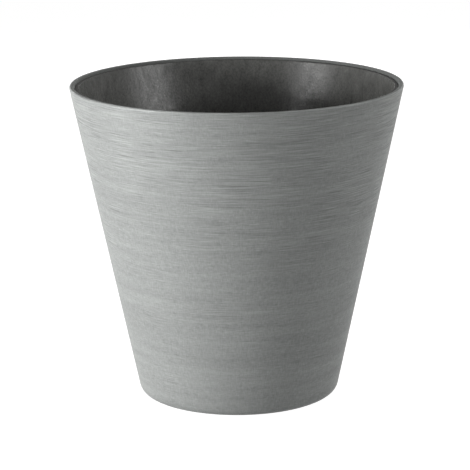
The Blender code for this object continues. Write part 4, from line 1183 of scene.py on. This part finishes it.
def model_lid():
    lid_top = HINGE_HEIGHT + LID_THICKNESS / 2
    lid_bottom = lid_top - LID_THICKNESS
    ring_bottom = lid_bottom - LID_RING_DEPTH
    ring_inner = LID_RING_RADIUS - LID_RING_WALL
    edge = LID_RING_WALL / 4
    corners = [
        (0, lid_top, 0),
        (LID_RADIUS, lid_top, LID_RIM_ROUND),
        (LID_RADIUS, lid_bottom, edge),
        (LID_RING_RADIUS, lid_bottom, edge),
        (LID_RING_RADIUS, ring_bottom, edge),
        (ring_inner, ring_bottom, edge),
        (ring_inner, lid_bottom, edge),
        (0, lid_bottom, 0),
    ]
    lid = turned("fill_lid_cap", corners, TUBE_STEPS, FILL_AXIS)
    low = lid_bottom + LID_INSET
    high = lid_top - LID_INSET
    half = LID_TAB_WIDTH / 2
    near = (FILL_X - half, FILL_Y + LID_RADIUS / 2, low)
    far = (FILL_X + half, FILL_Y + LID_RADIUS + LID_TAB_LENGTH, high)
    carve(lid, "UNION", block("lid_tab", near, far, LID_TAB_EDGE))
    half = HINGE_KNUCKLE_HALF - HINGE_SIDE_GAP / 2
    near = (FILL_X - half, HINGE_Y, low)
    far = (FILL_X + half, FILL_Y - LID_RADIUS / 2, high)
    carve(lid, "UNION", block("lid_tongue", near, far))
    left = FILL_X - HINGE_KNUCKLE_HALF
    right = FILL_X + HINGE_KNUCKLE_HALF
    carve(lid, "UNION", hinge_cylinder("lid_knuckle", HINGE_KNUCKLE_RADIUS, left, right, HINGE_EDGE))
    carve(lid, "DIFFERENCE", hinge_bore())
    joined(lid, water_drop(lid_top))
    done(lid, "lid", "black", "fill_lid")


def water_drop(lid_top):
    """A raised drop: an arc whose two ends run together at a tip."""
    opening = math.acos(DROP_RADIUS / DROP_TIP)
    sweep = math.tau - 2 * opening
    steps = round(sweep / ARC_STEP)
    sunk = lid_top - DROP_RISE
    outline = [Vector((FILL_X, FILL_Y + DROP_TIP - DROP_RADIUS / 2, sunk))]
    for k in range(steps + 1):
        angle = math.pi / 2 + opening + sweep * k / steps
        x = FILL_X + DROP_RADIUS * math.cos(angle)
        y = FILL_Y - DROP_RADIUS / 2 + DROP_RADIUS * math.sin(angle)
        outline.append(Vector((x, y, sunk)))
    drop = plate("water_drop", outline, Vector((0, 0, 2 * DROP_RISE)))
    soften(drop, DROP_RISE / 2)
    return drop


# Float gauge: tube, clear window with two level marks, float, rod and flag

def model_gauge_tube():
    flange_bottom = PLATE_SKIRT_TOP + TUBE_FLANGE_GAP
    flange_top = flange_bottom + GAUGE_FLANGE_THICKNESS
    floor_top = GAUGE_BOTTOM + GAUGE_WALL
    edge = GAUGE_EDGE_ROUND
    corners = [
        (0, floor_top, 0),
        (GAUGE_BORE, floor_top, edge),
        (GAUGE_BORE, GAUGE_TOP, edge),
        (GAUGE_RADIUS, GAUGE_TOP, edge),
        (GAUGE_RADIUS, flange_top, edge),
        (GAUGE_SOCKET_RADIUS, flange_top, 2 * edge),
        (GAUGE_SOCKET_RADIUS, flange_bottom, edge),
        (GAUGE_RADIUS, flange_bottom, edge),
        (GAUGE_RADIUS, GAUGE_BOTTOM, GAUGE_WALL / 2),
        (0, GAUGE_BOTTOM, 0),
    ]
    tube = turned("gauge_tube_body", corners, TUBE_STEPS)
    inlets = slot_bars("gauge_inlets", INLET_COUNT, INLET_WIDTH, INLET_HEIGHT, floor_top, GAUGE_RADIUS)
    carve(tube, "DIFFERENCE", inlets)
    shift(tube, (*GAUGE_AXIS, 0))
    done(tube, "insert", "black", "gauge_tube")


def model_window():
    shoulder = GAUGE_TOP + WINDOW_SHOULDER_GAP
    edge = WINDOW_EDGE_ROUND
    corners = [
        (0, WINDOW_TOP, 0),
        (WINDOW_RADIUS, WINDOW_TOP, WINDOW_TOP_ROUND),
        (WINDOW_RADIUS, WINDOW_BOTTOM, edge),
        (WINDOW_BORE, WINDOW_BOTTOM, edge),
        (WINDOW_BORE, shoulder, edge),
        (GAUGE_BORE, shoulder, edge),
        (GAUGE_BORE, WINDOW_TOP - WINDOW_WALL, WINDOW_TOP_ROUND / 2),
        (0, WINDOW_TOP - WINDOW_WALL, 0),
    ]
    window = turned("gauge_window_cap", corners, TUBE_STEPS, GAUGE_AXIS)
    done(window, "insert", "clear", "gauge_window")


def model_level_marks():
    """Two thin rings on the window, at the flag's middle with the reservoir empty and full."""
    lowest = (FLAG_BOTTOM + FLAG_TOP) / 2
    inner = WINDOW_RADIUS - MARK_SINK
    outer = WINDOW_RADIUS + MARK_RISE
    edge = MARK_RISE / 2
    rings = []
    for height in (lowest, lowest + FLOAT_TRAVEL):
        low = height - MARK_HEIGHT / 2
        high = height + MARK_HEIGHT / 2
        corners = [(outer, high, edge), (outer, low, edge), (inner, low, 0), (inner, high, 0)]
        rings.append(turned("level_marks", corners, TUBE_STEPS, GAUGE_AXIS, closed=True))
    done(joined(*rings), "insert", "black")


def model_float():
    socket_floor = FLOAT_TOP - ROD_SOCKET_DEPTH
    corners = [
        (0, socket_floor, 0),
        (ROD_SOCKET_RADIUS, socket_floor, 0),
        (ROD_SOCKET_RADIUS, FLOAT_TOP, ROD_SOCKET_RADIUS / 4),
        (FLOAT_RADIUS, FLOAT_TOP, FLOAT_ROUND),
        (FLOAT_RADIUS, FLOAT_BOTTOM, FLOAT_ROUND),
        (0, FLOAT_BOTTOM, 0),
    ]
    bob = turned("gauge_float_bob", corners, TUBE_STEPS, GAUGE_AXIS)
    done(bob, "float", "foam", "gauge_float")


def model_rod():
    low = bottom("gauge_rod")
    high = top("gauge_rod")
    corners = post_corners(ROD_RADIUS, high, low, ROD_RADIUS / 3)
    rod = turned("gauge_rod_wire", corners, SMALL_STEPS, GAUGE_AXIS)
    done(rod, "float", "black", "gauge_rod")


def model_flag():
    socket_top = FLAG_BOTTOM + ROD_SOCKET_DEPTH
    edge = FLAG_EDGE_ROUND
    corners = [
        (0, FLAG_TOP, 0),
        (FLAG_RADIUS, FLAG_TOP, FLAG_ROUND),
        (FLAG_RADIUS, FLAG_BOTTOM, edge),
        (ROD_SOCKET_RADIUS, FLAG_BOTTOM, edge),
        (ROD_SOCKET_RADIUS, socket_top, 0),
        (0, socket_top, 0),
    ]
    flag = turned("gauge_flag_cap", corners, TUBE_STEPS, GAUGE_AXIS)
    done(flag, "float", "red", "gauge_flag")


model_pot()
model_liner()
model_guides()
model_handle("liner_handle_left", -1, "handle_left")
model_handle("liner_handle_right", 1, "handle_right")
model_plug()
model_seal()
model_plate()
model_cups()
model_fill_tube()
model_pin()
model_lid()
model_gauge_tube()
model_window()
model_level_marks()
model_float()
model_rod()
model_flag()


# Floor, light and camera

FLOOR_SIZE = 14
FLOOR_GLOW = 0.975
FLOOR_PAINT = (0.45, 0.45, 0.45, 1)
FLOOR_TONE = (0.3, 0.3, 0.3, 1)
AMBIENT = 0.01
WHITE = (1, 1, 1, 1)
AIM = Vector((0, 0, 0.14))

# Each lamp: bearing from the front and height in degrees, distance, width and depth in metres, watts
LAMPS = {
    "key_left": (-65, 6, 1.5, 0.6, 0.4, 28),
    "upper_left": (-53, 11, 1.5, 0.4, 0.35, 4),
    "fill_right": (72, 16, 2.2, 1.2, 0.2, 14.5),
    "high_rear_right": (120, 60, 1.6, 0.8, 0.8, 6),
    "high_rear_left": (-120, 60, 1.6, 0.8, 0.8, 5),
    "rear_fill": (180, 4, 2.2, 1.6, 0.3, 9),
}

CAMERA_PLACE = Vector((0, -1.99827, 0.6307))
CAMERA_PITCH = 0.23863
CAMERA_ROLL = -0.00885
CAMERA_YAW = -0.00127
CAMERA_LENS = 172.9
SENSOR_WIDTH = 36


def seen_directly(tree):
    """1 on rays from the camera, in reflections or through clear plastic, 0 on rays that only carry light."""
    path = new_node(tree, "LightPath", {})
    total = path.outputs["Is Camera Ray"]
    for kind in ("Is Glossy Ray", "Is Transmission Ray"):
        total = new_node(tree, "Math", {0: total, 1: path.outputs[kind]}, "MAXIMUM").outputs["Value"]
    return total


def choose_seen(tree, lighting, seen, output):
    """Gives one shader to rays that only carry light and another to rays that are seen directly."""
    choose = new_node(tree, "MixShader", {"Fac": seen_directly(tree), 1: lighting, 2: seen})
    new_node(tree, output, {"Surface": choose.outputs["Shader"]})


def make_floor():
    select_only()
    bpy.ops.mesh.primitive_plane_add(size=FLOOR_SIZE)
    floor = just_added("floor")
    made = bpy.data.materials.new("pale_floor")
    made.use_nodes = True
    tree = made.node_tree
    tree.nodes.clear()
    paint = new_node(tree, "BsdfDiffuse", {"Color": FLOOR_PAINT})
    shaded = new_node(tree, "BsdfDiffuse", {"Color": FLOOR_TONE})
    glow = new_node(tree, "Emission", {"Color": WHITE, "Strength": FLOOR_GLOW})
    white = new_node(tree, "AddShader", {0: shaded.outputs["BSDF"], 1: glow.outputs["Emission"]})
    choose_seen(tree, paint.outputs["BSDF"], white.outputs["Shader"], "OutputMaterial")
    floor.data.materials.append(made)


def make_surround():
    world = bpy.data.worlds.new("pale_surround")
    bpy.context.scene.world = world
    world.use_nodes = True
    tree = world.node_tree
    tree.nodes.clear()
    soft = new_node(tree, "Background", {"Color": WHITE, "Strength": AMBIENT})
    white = new_node(tree, "Background", {"Color": WHITE, "Strength": 1})
    choose_seen(tree, soft.outputs["Background"], white.outputs["Background"], "OutputWorld")


def make_lamp(name, bearing, height, distance, width, depth, power):
    bearing = math.radians(bearing)
    height = math.radians(height)
    level = math.cos(height)
    out = Vector((math.sin(bearing) * level, -math.cos(bearing) * level, math.sin(height)))
    select_only()
    bpy.ops.object.light_add(type="AREA", location=AIM + out * distance)
    lamp = bpy.context.object
    lamp.name = name
    lamp.data.shape = "RECTANGLE"
    lamp.data.size = width
    lamp.data.size_y = depth
    lamp.data.energy = power
    lamp.rotation_euler = out.to_track_quat("Z", "Y").to_euler()


def make_camera():
    select_only()
    bpy.ops.object.camera_add()
    camera = bpy.context.object
    camera.matrix_world = (
        Matrix.Translation(CAMERA_PLACE)
        @ Matrix.Rotation(-CAMERA_YAW, 4, "Z")
        @ Matrix.Rotation(math.pi / 2 - CAMERA_PITCH, 4, "X")
        @ Matrix.Rotation(CAMERA_ROLL, 4, "Z")
    )
    camera.data.lens = CAMERA_LENS
    camera.data.sensor_width = SENSOR_WIDTH
    bpy.context.scene.camera = camera


make_floor()
make_surround()
for lamp_name, setting in LAMPS.items():
    make_lamp(lamp_name, *setting)
make_camera()
bpy.context.scene.view_settings.view_transform = "Standard"
